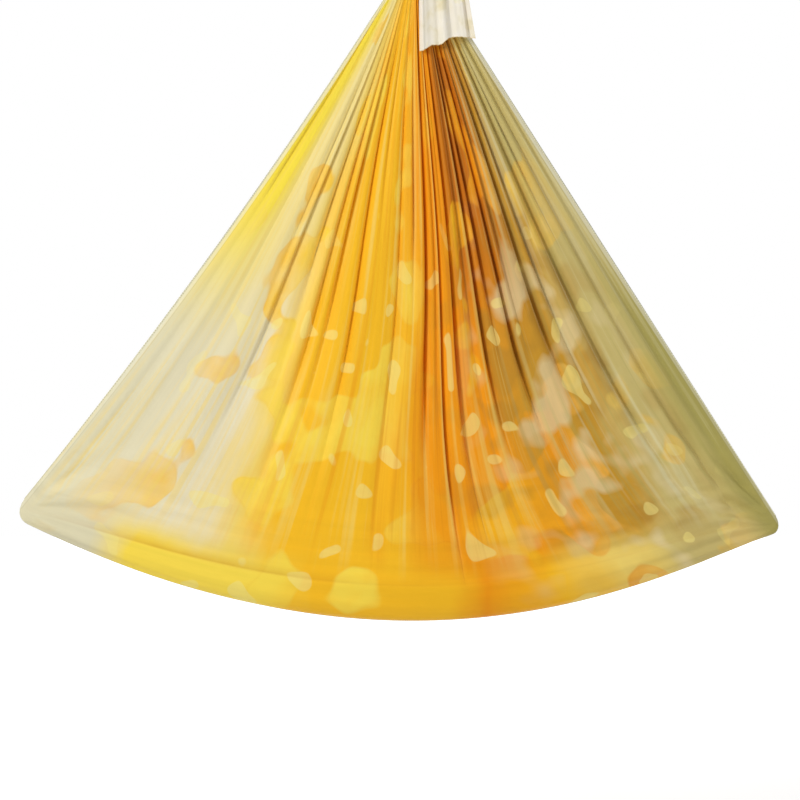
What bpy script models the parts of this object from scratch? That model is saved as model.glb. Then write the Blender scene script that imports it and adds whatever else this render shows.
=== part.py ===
"""Aerial hammock hung from one ceiling point.

A ceiling plate with a welded eye carries a screw-gate carabiner, a ball-bearing swivel, a second
carabiner and a figure-eight ring. A wide sheet of stretch cloth is knotted on the ring by both of
its ends, so it hangs as two leaves that meet in a shallow trough, the seat.

Metres, +Z up. The origin is the middle of the ceiling plate's top face, and -Y is the front.
"""

import math

import bmesh
import bpy
import numpy as np
from mathutils import Matrix, Vector

for old_object in list(bpy.data.objects):
    bpy.data.objects.remove(old_object, do_unlink=True)

# Clearances
SEAT_GAP = 0.0003  # between two pieces that touch
SLIDE_GAP = 0.0003  # between a sliding or turning piece and its guide
WELD = 0.0001  # merge distance of turned profiles
OVERSHOOT = 0.002  # how far a cutter runs past what it cuts, and joined shapes into each other
EDGE_CHAMFER = 0.0006  # on the small turned pieces

# Ceiling plate and its fasteners
PLATE_SIDE = 0.110
PLATE_THICKNESS = 0.006
PLATE_CORNER = 0.012
BOLT_EDGE_DISTANCE = 0.016  # from the plate's edge to a bolt's centre
BOLT_DIAMETER = 0.008
BOLT_HOLE_CLEARANCE = 0.0005
BOLT_GRIP = 0.055
BOLT_TIP = 0.008
BOLT_TIP_RADIUS = 0.0006
BOLT_HEAD_ACROSS_CORNERS = 0.015
BOLT_HEAD_HEIGHT = 0.0055
WASHER_DIAMETER = 0.018
WASHER_THICKNESS = 0.0016

# Anchor eye, a U of round bar under the plate
EYE_BAR = 0.012
EYE_BEND = 0.022
EYE_DROP = 0.040

# Carabiner, an oval of round bar with a screw-locked gate
CARABINER_BAR = 0.011
CARABINER_BEND = 0.0245
CARABINER_STRAIGHT = 0.054
HINGE_SHOULDER = 0.004
HINGE_CLEARANCE = 0.0006
NOSE_LENGTH = 0.0075
NOSE_GAP = 0.0006
GATE_DIAMETER = 0.0095
TONGUE_THICKNESS = 0.0034
TONGUE_WIDTH = 0.007
RIVET_DIAMETER = 0.003
RIVET_HEAD_DIAMETER = 0.0048
RIVET_HEAD_HEIGHT = 0.0009
SLOT_TOP = 0.005
GATE_WALL = 0.00205
SPRING_BORE_TOP = 0.020
SPRING_CLEARANCE = 0.0004
SPRING_WIRE = 0.0007
SPRING_TURNS = 4
SPRING_POINTS = 8  # along each turn
SLEEVE_WALL = 0.00195
SLEEVE_LENGTH = 0.020
SLEEVE_PARKED = 0.0075
SLEEVE_GROOVES = 4
GROOVE_DEPTH = 0.0006
GROOVE_WIDTH = 0.0018

# Swivel
SWIVEL_EYE_BAR = 0.010
SWIVEL_EYE_BEND = 0.016
HOUSING_DIAMETER = 0.034
HOUSING_WALL = 0.004
HOUSING_ROOF = 0.006
HOUSING_EDGE = 0.003
HOUSING_HEADROOM = 0.0089
EYE_OVERLAP = 0.0025
CAP_SPIGOT = 0.004
CAP_FLANGE = 0.004
CAP_CHAMFER = 0.001
SHAFT_DIAMETER = 0.010
BEARING_HEIGHT = 0.007
RACE_GROOVE = 0.001
NUT_HEIGHT = 0.008
NUT_ACROSS_CORNERS = 0.019
SHAFT_PROUD = 0.0015
SHAFT_SHOWN = 0.0025

# Figure-eight ring
EIGHT_BAR = 0.012
EIGHT_SMALL_BEND = 0.018
EIGHT_LARGE_BEND = 0.032
EIGHT_WAIST = 0.001

# Knot
BUNDLE_DIAMETER = 0.028
BUNDLE_FLUTE = 0.0012
BUNDLE_FLUTES = 9
FLUTE_POINTS = 3  # around each flute
BUNDLE_LEG = 0.030
KNOT_HEIGHT = 0.046
KNOT_FLAT_RADIUS = 0.037
KNOT_BULGE = 0.006
KNOT_TURNS = 3

# Cloth: the fan's outline, measured from the point its hems and folds run towards
CLOTH_THICKNESS = 0.0012
KNOT_BELOW_APEX = 0.036
DROP_MIDDLE = 2.405
DROP_HEM = 2.463
DROP_RISE_POWER = 3.0
HEM_LEFT_TOP = 32.0
HEM_LEFT_LOW = 35.5
HEM_RIGHT = 32.5
CORNER_RADIUS = 0.054

# Cloth: depth from front to back, and the main folds
SEAT_DEPTH = 0.180
SEAT_DEPTH_HEM = 0.016
SEAT_HEIGHT = 0.129
SEAT_HEIGHT_HEM = 0.012
GATHER_DEPTH = 0.024
GATHER_DEPTH_HEM = 0.008
HEM_BULGE = 0.012
FOLD_COUNT = 12
FOLD_DEPTH = 0.013
FOLD_DEPTH_TOP = 0.0024
FOLD_STAGGER = 0.05  # how far the folds are shifted sideways, as a share of half the width
STAGGER_WAVES = 3
STAGGER_PHASE = 0.6
COLUMNS_PER_FOLD = 4
HEM_COLUMNS = (0.006, 0.016, 0.032)  # extra columns, this far in from a hem
LEAF_ROWS = 9
ROW_CROWDING = 1.5  # rows lie closer together towards the knot
FOLD_FULLEST = 0.75  # below 1 the folds are deepest above the leaf's middle
FOLD_TAPER = 1.2  # above 1 the folds start and end more gently
FOLD_UNEVEN = 0.25  # by what share the folds differ in depth
UNEVEN_RATE = 5.0
UNEVEN_PHASE = 1.0
FOLD_LOSS_AT_HEM = 0.5
SEAT_ROWS = 6

# Cloth: the two loose ends below the knot. LEFT and RIGHT give the x of an edge at the knot and at
# the foot, LENGTHS the length of the left and of the right edge
FRONT_TAIL_LEFT = (0.004, 0.018)
FRONT_TAIL_RIGHT = (0.026, 0.215)
FRONT_TAIL_LENGTHS = (0.332, 0.286)
BACK_TAIL_LEFT = (-0.026, -0.100)
BACK_TAIL_RIGHT = (-0.004, 0.030)
BACK_TAIL_LENGTHS = (0.270, 0.250)
TAIL_COLUMNS = 16
TAIL_ROWS = 7
TAIL_PLEATS = 4
TAIL_PLEAT_DEPTH = 0.004
TAIL_PLEAT_AT_KNOT = 0.25  # share of the pleats' depth where a tail leaves the knot
TAIL_CLEARANCE = 0.012  # from a tail to the deepest fold of the leaf behind it
TAIL_SPREAD_POWER = 2.2
TAIL_STEP_AT = 0.45  # where across the foot the step in its length lies
TAIL_STEP_SHARPNESS = 12.0

# Segments around round pieces
FINE = 24
MEDIUM = 16
SMALL = 12
HEXAGON = 6
RING_SIDES = 10
BAR_RESOLUTION = 3  # ten sides around a bent bar
BEND_STEPS = 12
CORNER_STEPS = 6
DOME_STEPS = 5
BULGE_STEPS = 4
WIRE_RESOLUTION = 1

parts = bpy.data.collections.new("aerial_hammock")
cutters = bpy.data.collections.new("aerial_hammock_cutters")
bpy.context.scene.collection.children.link(parts)
bpy.context.scene.collection.children.link(cutters)


def material(name, colour, metallic, roughness):
    """A Principled material in one colour."""
    made = bpy.data.materials.new(name)
    made.use_nodes = True
    shader = made.node_tree.nodes["Principled BSDF"]
    shader.inputs["Base Color"].default_value = (*colour, 1.0)
    shader.inputs["Metallic"].default_value = metallic
    shader.inputs["Roughness"].default_value = roughness
    return made


STEEL = material("polished_steel", (0.62, 0.63, 0.65), 1.0, 0.28)
ZINC = material("zinc_plated_steel", (0.55, 0.56, 0.57), 1.0, 0.42)
ALLOY = material("anodised_alloy", (0.30, 0.31, 0.33), 0.9, 0.38)
BRASS = material("bearing_bronze", (0.66, 0.50, 0.26), 1.0, 0.35)
FRONT_CLOTH = material("front_cloth", (0.93, 0.62, 0.13), 0.0, 0.62)
BACK_CLOTH = material("back_cloth", (0.90, 0.64, 0.22), 0.0, 0.62)
SEAT_CLOTH = material("seat_cloth", (0.94, 0.72, 0.20), 0.0, 0.60)
CREAM_CLOTH = material("cream_cloth", (0.88, 0.84, 0.74), 0.0, 0.65)


def marker(name, position, parent=None):
    """An empty on a joint's axis, given by its place in the world."""
    empty = bpy.data.objects.new(name, None)
    empty.empty_display_size = 0.02
    parts.objects.link(empty)
    place(empty, position, parent)
    return empty


def world_place(empty):
    """Where a marker lies in the world. Markers are never turned, so their places add up."""
    total = Vector((0.0, 0.0, 0.0))
    while empty is not None:
        total = total + empty.location
        empty = empty.parent
    return total


def place(piece, position, parent):
    """Puts a piece at a world position under a marker."""
    piece.parent = parent
    piece.location = Vector(position) - world_place(parent)


def add_piece(name, mesh, finish, position, parent, smooth=True):
    """Makes one named part from a mesh."""
    piece = bpy.data.objects.new(name, mesh)
    mesh.name = name
    mesh.materials.clear()
    mesh.materials.append(finish)
    parts.objects.link(piece)
    place(piece, position, parent)
    if smooth:
        mesh.shade_smooth()
        mesh.set_sharp_from_angle(angle=math.radians(35))
    return piece


def add_cutter(name, mesh, target):
    """A hidden helper that lies in its target's own space."""
    helper = bpy.data.objects.new(name, mesh)
    helper.hide_render = True
    helper.display_type = "WIRE"
    cutters.objects.link(helper)
    helper.parent = target
    return helper


def combine(target, helper_mesh, operation, name):
    """Cuts a helper out of a part, or joins it on, with a Boolean modifier."""
    helper = add_cutter(name, helper_mesh, target)
    change = target.modifiers.new(name, "BOOLEAN")
    change.operation = operation
    change.object = helper


def moved(mesh, matrix):
    """Applies a matrix to a mesh's own points and hands the mesh back."""
    mesh.transform(matrix)
    return mesh


def rod_mesh(name, radius, low, high, segments, axis="Z", tip_radius=None):
    """A cylinder or cone along an axis, from low to high."""
    work = bmesh.new()
    bmesh.ops.create_cone(
        work,
        cap_ends=True,
        segments=segments,
        radius1=radius,
        radius2=radius if tip_radius is None else tip_radius,
        depth=high - low,
        matrix=Matrix.Translation((0, 0, (low + high) / 2)),
    )
    mesh = bpy.data.meshes.new(name)
    work.to_mesh(mesh)
    work.free()
    turns = {"X": Matrix.Rotation(math.pi / 2, 4, "Y"), "Z": Matrix.Identity(4)}
    return moved(mesh, turns[axis])


def box_mesh(name, low, high):
    """A box between two corners."""
    size = Vector(high) - Vector(low)
    middle = (Vector(high) + Vector(low)) / 2
    stretch = Matrix.Diagonal((*size, 1.0))
    work = bmesh.new()
    bmesh.ops.create_cube(work, size=1.0, matrix=Matrix.Translation(middle) @ stretch)
    mesh = bpy.data.meshes.new(name)
    work.to_mesh(mesh)
    work.free()
    return mesh


def torus_mesh(name, bend, bar, centre_z):
    """A ring of round bar that stands in the XZ plane."""
    bpy.ops.mesh.primitive_torus_add(
        major_segments=FINE, minor_segments=RING_SIDES, major_radius=bend, minor_radius=bar / 2
    )
    made = bpy.context.object
    mesh = made.data.copy()
    mesh.name = name
    bpy.data.objects.remove(made, do_unlink=True)
    mesh.transform(Matrix.Rotation(math.pi / 2, 4, "X"))
    return moved(mesh, Matrix.Translation((0, 0, centre_z)))


def turned_mesh(name, profile, steps, closed=False):
    """Turns a profile of (radius, height) pairs about Z. It runs down the outer side."""
    mesh = bpy.data.meshes.new(name)
    points = [(radius, 0.0, height) for radius, height in profile]
    edges = [(k, k + 1) for k in range(len(points) - 1)]
    if closed:
        edges.append((len(points) - 1, 0))
    mesh.from_pydata(points, edges, [])
    lathe = bpy.data.objects.new(name, mesh)
    bpy.context.scene.collection.objects.link(lathe)
    spin = lathe.modifiers.new("turn", "SCREW")
    spin.steps = steps
    spin.render_steps = steps
    spin.use_merge_vertices = True
    spin.merge_threshold = WELD
    return evaluated_mesh(lathe)


def evaluated_mesh(shape):
    """The mesh a curve or a modifier stack gives, welded and facing outwards. The shape is removed."""
    bpy.context.view_layer.update()
    graph = bpy.context.evaluated_depsgraph_get()
    mesh = bpy.data.meshes.new_from_object(shape.evaluated_get(graph))
    bpy.data.objects.remove(shape, do_unlink=True)
    work = bmesh.new()
    work.from_mesh(mesh)
    bmesh.ops.remove_doubles(work, verts=work.verts, dist=1e-6)
    bmesh.ops.recalc_face_normals(work, faces=work.faces)
    work.to_mesh(mesh)
    work.free()
    return mesh


def tube_mesh(name, points, diameter=None, resolution=BAR_RESOLUTION, outline=None):
    """Round bar, or a bar of another outline, along a line of points."""
    route = bpy.data.curves.new(name, "CURVE")
    route.dimensions = "3D"
    route.use_fill_caps = True
    if outline is None:
        route.bevel_depth = diameter / 2
        route.bevel_resolution = resolution
    else:
        route.bevel_mode = "OBJECT"
        route.bevel_object = outline
    line = route.splines.new("POLY")
    line.points.add(len(points) - 1)
    for point, place_at in zip(line.points, points):
        point.co = (*place_at, 1.0)
    shape = bpy.data.objects.new(name, route)
    bpy.context.scene.collection.objects.link(shape)
    return evaluated_mesh(shape)


def arc(centre, radius, start, end, steps):
    """Points of an arc in a plane, by angle in degrees, both ends included."""
    angles = np.radians(np.linspace(start, end, steps + 1))
    return [(centre[0] + radius * math.cos(a), centre[1] + radius * math.sin(a)) for a in angles]


def build_anchor(root):
    """The plate, its eye, and four lag bolts with washers."""
    half = PLATE_SIDE / 2
    inner = half - PLATE_CORNER
    outline = bpy.data.curves.new("ceiling_plate", "CURVE")
    outline.dimensions = "2D"
    outline.fill_mode = "BOTH"
    outline.extrude = PLATE_THICKNESS / 2
    quarters = [(1, 1), (-1, 1), (-1, -1), (1, -1)]
    corners = []
    for quarter, (sx, sy) in enumerate(quarters):
        start = 90 * quarter
        corners += arc((sx * inner, sy * inner), PLATE_CORNER, start, start + 90, CORNER_STEPS)
    line = outline.splines.new("POLY")
    line.use_cyclic_u = True
    line.points.add(len(corners) - 1)
    for point, (x, y) in zip(line.points, corners):
        point.co = (x, y, 0.0, 1.0)
    shape = bpy.data.objects.new("ceiling_plate", outline)
    bpy.context.scene.collection.objects.link(shape)
    mesh = moved(evaluated_mesh(shape), Matrix.Translation((0, 0, -PLATE_THICKNESS / 2)))
    plate = add_piece("ceiling_plate", mesh, ZINC, (0, 0, 0), root)

    hole_radius = BOLT_DIAMETER / 2 + BOLT_HOLE_CLEARANCE
    bolt_radius = BOLT_DIAMETER / 2
    bolt_offset = half - BOLT_EDGE_DISTANCE
    head_top = -PLATE_THICKNESS - WASHER_THICKNESS - 2 * SEAT_GAP
    head_bottom = head_top - BOLT_HEAD_HEIGHT
    tip_top = BOLT_GRIP + BOLT_TIP
    for number, (sx, sy) in enumerate(quarters, start=1):
        at = (sx * bolt_offset, sy * bolt_offset, 0.0)
        drill = rod_mesh("bolt_hole", hole_radius, -PLATE_THICKNESS - OVERSHOOT, OVERSHOOT, MEDIUM)
        combine(plate, moved(drill, Matrix.Translation(at)), "DIFFERENCE", f"bolt_hole_{number}")
        shank = rod_mesh("shank", bolt_radius, head_top - BOLT_HEAD_HEIGHT / 2, BOLT_GRIP, SMALL)
        bolt = add_piece(f"anchor_bolt_{number}", shank, ZINC, at, root)
        head = rod_mesh("head", BOLT_HEAD_ACROSS_CORNERS / 2, head_bottom, head_top, HEXAGON)
        combine(bolt, head, "UNION", f"bolt_head_{number}")
        tip_low = BOLT_GRIP - OVERSHOOT / 2
        tip = rod_mesh("tip", bolt_radius, tip_low, tip_top, SMALL, tip_radius=BOLT_TIP_RADIUS)
        combine(bolt, tip, "UNION", f"bolt_tip_{number}")
        washer_top = -PLATE_THICKNESS - SEAT_GAP
        washer_low = washer_top - WASHER_THICKNESS
        ring = [
            (WASHER_DIAMETER / 2, washer_top),
            (WASHER_DIAMETER / 2, washer_low),
            (hole_radius, washer_low),
            (hole_radius, washer_top),
        ]
        washer = turned_mesh("washer", ring, MEDIUM, closed=True)
        add_piece(f"anchor_washer_{number}", washer, ZINC, at, root)

    centre_z = -PLATE_THICKNESS - EYE_DROP + EYE_BEND
    top_z = -PLATE_THICKNESS - SEAT_GAP
    bow = arc((0.0, centre_z), EYE_BEND, 180, 360, BEND_STEPS)
    route = [(-EYE_BEND, 0.0, top_z)] + [(x, 0.0, z) for x, z in bow] + [(EYE_BEND, 0.0, top_z)]
    add_piece("anchor_eye", tube_mesh("anchor_eye", route, EYE_BAR), ZINC, (0, 0, 0), root)


def build_carabiner(level, pivot_z, hooked_bar, parent):
    """One carabiner hung on a bar along X at pivot_z. Returns its lower bar's height and its marker."""
    half_height = CARABINER_STRAIGHT / 2 + CARABINER_BEND
    centre_z = pivot_z + hooked_bar / 2 + SEAT_GAP + CARABINER_BAR / 2 - half_height
    pivot = marker(f"{level}_carabiner_pivot", (0, 0, pivot_z), parent)
    centre = (0, 0, centre_z)
    straight = CARABINER_STRAIGHT / 2
    shoulder_z = -straight + HINGE_SHOULDER
    rivet_z = shoulder_z + GATE_DIAMETER / 2 + HINGE_CLEARANCE
    nose_z = straight - NOSE_LENGTH
    gate_length = nose_z - NOSE_GAP - rivet_z

    # The frame: an oval that is open on its gate side, a turned-down nose and a hinge tongue
    lower = arc((0.0, -straight), CARABINER_BEND, 0, -180, BEND_STEPS)
    upper = arc((0.0, straight), CARABINER_BEND, 180, 0, BEND_STEPS)
    route = [(0.0, CARABINER_BEND, shoulder_z)] + [(0.0, y, z) for y, z in lower + upper]
    frame_mesh = tube_mesh("frame", route, CARABINER_BAR)
    frame = add_piece(f"{level}_carabiner_frame", frame_mesh, STEEL, centre, pivot)
    at_gate = Matrix.Translation((0, CARABINER_BEND, 0))
    at_rivet = Matrix.Translation((0, CARABINER_BEND, rivet_z))
    nose = rod_mesh("nose", GATE_DIAMETER / 2, nose_z, straight + OVERSHOOT, MEDIUM)
    combine(frame, moved(nose, at_gate), "UNION", "nose")
    side = TONGUE_THICKNESS / 2
    tongue_root = shoulder_z - OVERSHOOT - rivet_z
    tongue_top = TONGUE_WIDTH / 2
    tongue = box_mesh("tongue", (-side, -tongue_top, tongue_root), (side, tongue_top, 0.0))
    combine(frame, moved(tongue, at_rivet), "UNION", "tongue")
    knuckle = rod_mesh("knuckle", tongue_top, -side, side, MEDIUM, axis="X")
    combine(frame, moved(knuckle, at_rivet), "UNION", "knuckle")
    rivet_hole = RIVET_DIAMETER / 2 + SLIDE_GAP
    pin_hole = rod_mesh("pin_hole", rivet_hole, -GATE_DIAMETER, GATE_DIAMETER, SMALL, axis="X")
    combine(frame, moved(pin_hole, at_rivet), "DIFFERENCE", "pin_hole")

    # The rivet, with a shallow head on each side of the gate
    reach = GATE_DIAMETER / 2 + SLIDE_GAP
    head_radius = RIVET_HEAD_DIAMETER / 2
    crown = math.sin(math.pi / 4)
    rivet_side = [
        (0.0, reach + RIVET_HEAD_HEIGHT),
        (head_radius * crown, reach + RIVET_HEAD_HEIGHT * crown),
        (head_radius, reach),
        (RIVET_DIAMETER / 2, reach),
    ]
    profile = rivet_side + [(radial, -along) for radial, along in reversed(rivet_side)]
    rivet_mesh = moved(turned_mesh("rivet", profile, SMALL), Matrix.Rotation(math.pi / 2, 4, "Y"))
    rivet_at = (0, CARABINER_BEND, centre_z + rivet_z)
    add_piece(f"{level}_gate_rivet", rivet_mesh, STEEL, rivet_at, pivot)

    # The gate: a barrel with a round lower end, slotted over the tongue and bored for its spring
    hinge = marker(f"{level}_gate_hinge", rivet_at, pivot)
    radius = GATE_DIAMETER / 2
    shoulder = radius - EDGE_CHAMFER
    barrel = [(0.0, gate_length), (shoulder, gate_length), (radius, gate_length - EDGE_CHAMFER)]
    dome = arc((0.0, 0.0), radius, 0, -90, DOME_STEPS)[:-1]
    profile = barrel + dome + [(0.0, -radius)]
    gate = add_piece(f"{level}_gate", turned_mesh("gate", profile, MEDIUM), STEEL, rivet_at, hinge)
    slot_half = TONGUE_THICKNESS / 2 + SLIDE_GAP
    slot_low = (-slot_half, -GATE_DIAMETER, -GATE_DIAMETER)
    slot_high = (slot_half, GATE_DIAMETER, SLOT_TOP)
    combine(gate, box_mesh("slot", slot_low, slot_high), "DIFFERENCE", "slot")
    bore_radius = radius - GATE_WALL
    bore = rod_mesh("spring_bore", bore_radius, SLOT_TOP - OVERSHOOT, SPRING_BORE_TOP, SMALL)
    combine(gate, bore, "DIFFERENCE", "spring_bore")
    gate_hole = rod_mesh("gate_hole", rivet_hole, -GATE_DIAMETER, GATE_DIAMETER, SMALL, axis="X")
    combine(gate, gate_hole, "DIFFERENCE", "gate_hole")

    # The return spring inside the gate, one unbroken wire
    low = tongue_top + SEAT_GAP + SPRING_WIRE / 2
    high = SPRING_BORE_TOP - SEAT_GAP - SPRING_WIRE / 2
    coil_radius = bore_radius - SPRING_CLEARANCE - SPRING_WIRE / 2
    steps = SPRING_TURNS * SPRING_POINTS
    turns = 2 * np.pi * np.linspace(0, SPRING_TURNS, steps + 1)
    heights = np.linspace(low, high, steps + 1)
    coil = np.column_stack([coil_radius * np.cos(turns), coil_radius * np.sin(turns), heights])
    spring = tube_mesh("spring", coil, SPRING_WIRE, WIRE_RESOLUTION)
    add_piece(f"{level}_gate_spring", spring, STEEL, rivet_at, hinge)

    # The lock sleeve, parked low so that the gate can open, with grip grooves
    inner = radius + SLIDE_GAP
    outer = inner + SLEEVE_WALL
    rim = outer - EDGE_CHAMFER
    profile = [(rim, SLEEVE_LENGTH), (outer, SLEEVE_LENGTH - EDGE_CHAMFER)]
    for groove in range(SLEEVE_GROOVES, 0, -1):
        middle = SLEEVE_LENGTH * groove / (SLEEVE_GROOVES + 1)
        profile.append((outer, middle + GROOVE_WIDTH / 2))
        profile.append((outer - GROOVE_DEPTH, middle))
        profile.append((outer, middle - GROOVE_WIDTH / 2))
    profile += [(outer, EDGE_CHAMFER), (rim, 0.0), (inner, 0.0), (inner, SLEEVE_LENGTH)]
    sleeve_at = (0, CARABINER_BEND, centre_z + rivet_z + SLEEVE_PARKED)
    sleeve = turned_mesh("sleeve", profile, MEDIUM, closed=True)
    add_piece(f"{level}_lock_sleeve", sleeve, ALLOY, sleeve_at, hinge)
    return centre_z - half_height, pivot


def build_swivel(pivot_z, parent):
    """The swivel under the upper carabiner. Returns its lower eye's bar height and its turning marker."""
    top = marker("swivel_pivot", (0, 0, pivot_z), parent)
    at = (0, 0, pivot_z)
    bar = SWIVEL_EYE_BAR / 2
    upper_centre = CARABINER_BAR / 2 + SEAT_GAP + bar - SWIVEL_EYE_BEND
    roof = upper_centre - SWIVEL_EYE_BEND - bar + EYE_OVERLAP
    ceiling = roof - HOUSING_ROOF
    stack = CAP_SPIGOT + BEARING_HEIGHT + NUT_HEIGHT + SHAFT_PROUD + 2 * SEAT_GAP
    foot = ceiling - HOUSING_HEADROOM - stack
    outer = HOUSING_DIAMETER / 2
    cavity = outer - HOUSING_WALL
    bell = [(0.0, roof), (outer - HOUSING_EDGE, roof), (outer, roof - HOUSING_EDGE), (outer, foot)]
    bell += [(cavity, foot), (cavity, ceiling), (0.0, ceiling)]
    housing = add_piece("swivel_housing", turned_mesh("housing", bell, FINE), STEEL, at, top)
    upper_eye = torus_mesh("upper_eye", SWIVEL_EYE_BEND, SWIVEL_EYE_BAR, upper_centre)
    combine(housing, upper_eye, "UNION", "upper_eye")

    shaft = SHAFT_DIAMETER / 2
    bore = shaft + SLIDE_GAP
    spigot = cavity - SLIDE_GAP
    spigot_top = foot + CAP_SPIGOT
    flange_top = foot - SEAT_GAP
    flange_low = flange_top - CAP_FLANGE
    cap = [(spigot, spigot_top), (spigot, flange_top), (outer, flange_top)]
    cap += [(outer, flange_low + CAP_CHAMFER), (outer - CAP_CHAMFER, flange_low)]
    cap += [(bore, flange_low), (bore, spigot_top)]
    add_piece("swivel_cap", turned_mesh("cap", cap, FINE, closed=True), STEEL, at, top)
    bearing_low = spigot_top + SEAT_GAP
    bearing_top = bearing_low + BEARING_HEIGHT
    race = cavity - SEAT_GAP
    groove = (bearing_low + bearing_top) / 2
    ring = [(race, bearing_top), (race, groove + RACE_GROOVE), (race - RACE_GROOVE, groove)]
    ring += [(race, groove - RACE_GROOVE), (race, bearing_low)]
    ring += [(bore, bearing_low), (bore, bearing_top)]
    add_piece("swivel_bearing", turned_mesh("bearing", ring, FINE, closed=True), BRASS, at, top)

    spin = marker("swivel_spin_axis", (0, 0, pivot_z), top)
    nut_low = bearing_top + SEAT_GAP
    nut_top = nut_low + NUT_HEIGHT
    nut_mesh = rod_mesh("nut", NUT_ACROSS_CORNERS / 2, nut_low, nut_top, HEXAGON)
    nut = add_piece("swivel_nut", nut_mesh, ZINC, at, spin, smooth=False)
    nut_bore = rod_mesh("nut_bore", bore, nut_low - OVERSHOOT, nut_top + OVERSHOOT, MEDIUM)
    combine(nut, nut_bore, "DIFFERENCE", "nut_bore")
    ring_top = flange_low - SHAFT_SHOWN
    lower_centre = ring_top - bar - SWIVEL_EYE_BEND
    shaft_mesh = rod_mesh("shaft", shaft, ring_top - bar, nut_top + SHAFT_PROUD, MEDIUM)
    swivel_eye = add_piece("swivel_eye", shaft_mesh, STEEL, at, spin)
    lower_eye = torus_mesh("lower_eye", SWIVEL_EYE_BEND, SWIVEL_EYE_BAR, lower_centre)
    combine(swivel_eye, lower_eye, "UNION", "lower_eye")
    return pivot_z + lower_centre - SWIVEL_EYE_BEND, spin


def build_ring(pivot_z, parent):
    """The figure-eight ring. Returns the height of the bar that holds the cloth, and its marker."""
    pivot = marker("hammock_pivot", (0, 0, pivot_z), parent)
    small_centre = CARABINER_BAR / 2 + SEAT_GAP + EIGHT_BAR / 2 - EIGHT_SMALL_BEND
    large_centre = small_centre - EIGHT_SMALL_BEND - EIGHT_WAIST - EIGHT_LARGE_BEND
    small = torus_mesh("small_ring", EIGHT_SMALL_BEND, EIGHT_BAR, small_centre)
    large = torus_mesh("large_ring", EIGHT_LARGE_BEND, EIGHT_BAR, large_centre)
    eight = add_piece("figure_eight", small, ALLOY, (0, 0, pivot_z), pivot)
    combine(eight, large, "UNION", "large_ring")
    return pivot_z + large_centre - EIGHT_LARGE_BEND, pivot


def build_knot(bar_z, parent):
    """The gathered loop over the ring's bar, and the turns tied below it. Returns the knot's foot."""
    radius = BUNDLE_DIAMETER / 2
    bow_radius = EIGHT_BAR / 2 + SEAT_GAP + radius
    outline = bpy.data.curves.new("bundle_outline", "CURVE")
    outline.dimensions = "2D"
    line = outline.splines.new("POLY")
    line.use_cyclic_u = True
    count = BUNDLE_FLUTES * FLUTE_POINTS
    line.points.add(count - 1)
    for k, point in enumerate(line.points):
        turn = 2 * math.pi * k / count
        reach = radius - BUNDLE_FLUTE * (0.5 - 0.5 * math.cos(BUNDLE_FLUTES * turn))
        point.co = (reach * math.cos(turn), reach * math.sin(turn), 0.0, 1.0)
    guide = bpy.data.objects.new("bundle_outline", outline)
    bpy.context.scene.collection.objects.link(guide)
    bow = arc((0.0, 0.0), bow_radius, 180, 0, BEND_STEPS)
    side_view = [(-bow_radius, -BUNDLE_LEG)] + bow + [(bow_radius, -BUNDLE_LEG)]
    loop = tube_mesh("loop", [(0.0, y, z) for y, z in side_view], outline=guide)
    bpy.data.objects.remove(guide, do_unlink=True)
    add_piece("knot_loop", loop, FRONT_CLOTH, (0, 0, bar_z), parent)

    top = -BUNDLE_LEG - SEAT_GAP
    profile = [(0.0, top), (KNOT_FLAT_RADIUS, top)]
    steps = KNOT_TURNS * BULGE_STEPS
    for step in range(1, steps + 1):
        bulge = abs(math.sin(math.pi * step / BULGE_STEPS))
        profile.append((KNOT_FLAT_RADIUS + KNOT_BULGE * bulge, top - KNOT_HEIGHT * step / steps))
    profile.append((0.0, top - KNOT_HEIGHT))
    add_piece("knot_wrap", turned_mesh("wrap", profile, FINE), FRONT_CLOTH, (0, 0, bar_z), parent)
    return bar_z + top - KNOT_HEIGHT


def hem_angle(side, drop):
    """The hem's angle from straight down, in degrees, at a distance below the apex."""
    share = drop / DROP_HEM
    left = HEM_LEFT_TOP + (HEM_LEFT_LOW - HEM_LEFT_TOP) * share
    return np.where(side < 0, left, HEM_RIGHT)


def across(column):
    """Where a column of the cloth lies between the hems, -1 to 1: the folds are not all one width."""
    shift = np.sin(STAGGER_WAVES * np.pi * column + STAGGER_PHASE)
    return column + FOLD_STAGGER * shift * (1 - column**2)


def lens(column, middle, hem):
    """A value that is largest at the cloth's middle and falls in a half ellipse to the hems."""
    return hem + (middle - hem) * np.sqrt(np.clip(1 - column**2, 0, 1))


def lowest_drop(column):
    """How far below the apex the cloth's underside lies, with rounded corners at the hems."""
    share = across(column)
    drop = DROP_MIDDLE + (DROP_HEM - DROP_MIDDLE) * np.abs(share) ** DROP_RISE_POWER
    half_width = drop * np.radians(hem_angle(share, drop))
    inset = np.clip(half_width * (1 - np.abs(share)), 0, CORNER_RADIUS)
    return drop - CORNER_RADIUS + np.sqrt(CORNER_RADIUS**2 - (CORNER_RADIUS - inset) ** 2)


def cloth_columns():
    """The cloth's columns, -1 to 1: a few for each fold, and more by the hems for the round corners."""
    regular = np.linspace(-1, 1, FOLD_COUNT * COLUMNS_PER_FOLD + 1)
    half_width = DROP_HEM * math.radians(HEM_LEFT_LOW)
    extra = [1 - inset / half_width for inset in HEM_COLUMNS]
    return np.array(sorted([*regular, *extra, *[-column for column in extra]]))


def fan_point(column, drop, depth, apex_z):
    """World points of the cloth from its column, its distance below the apex and its depth."""
    share = across(column)
    angle = np.radians(hem_angle(share, drop)) * share
    return np.stack([drop * np.sin(angle), depth, apex_z - drop * np.cos(angle)], axis=-1)


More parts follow.
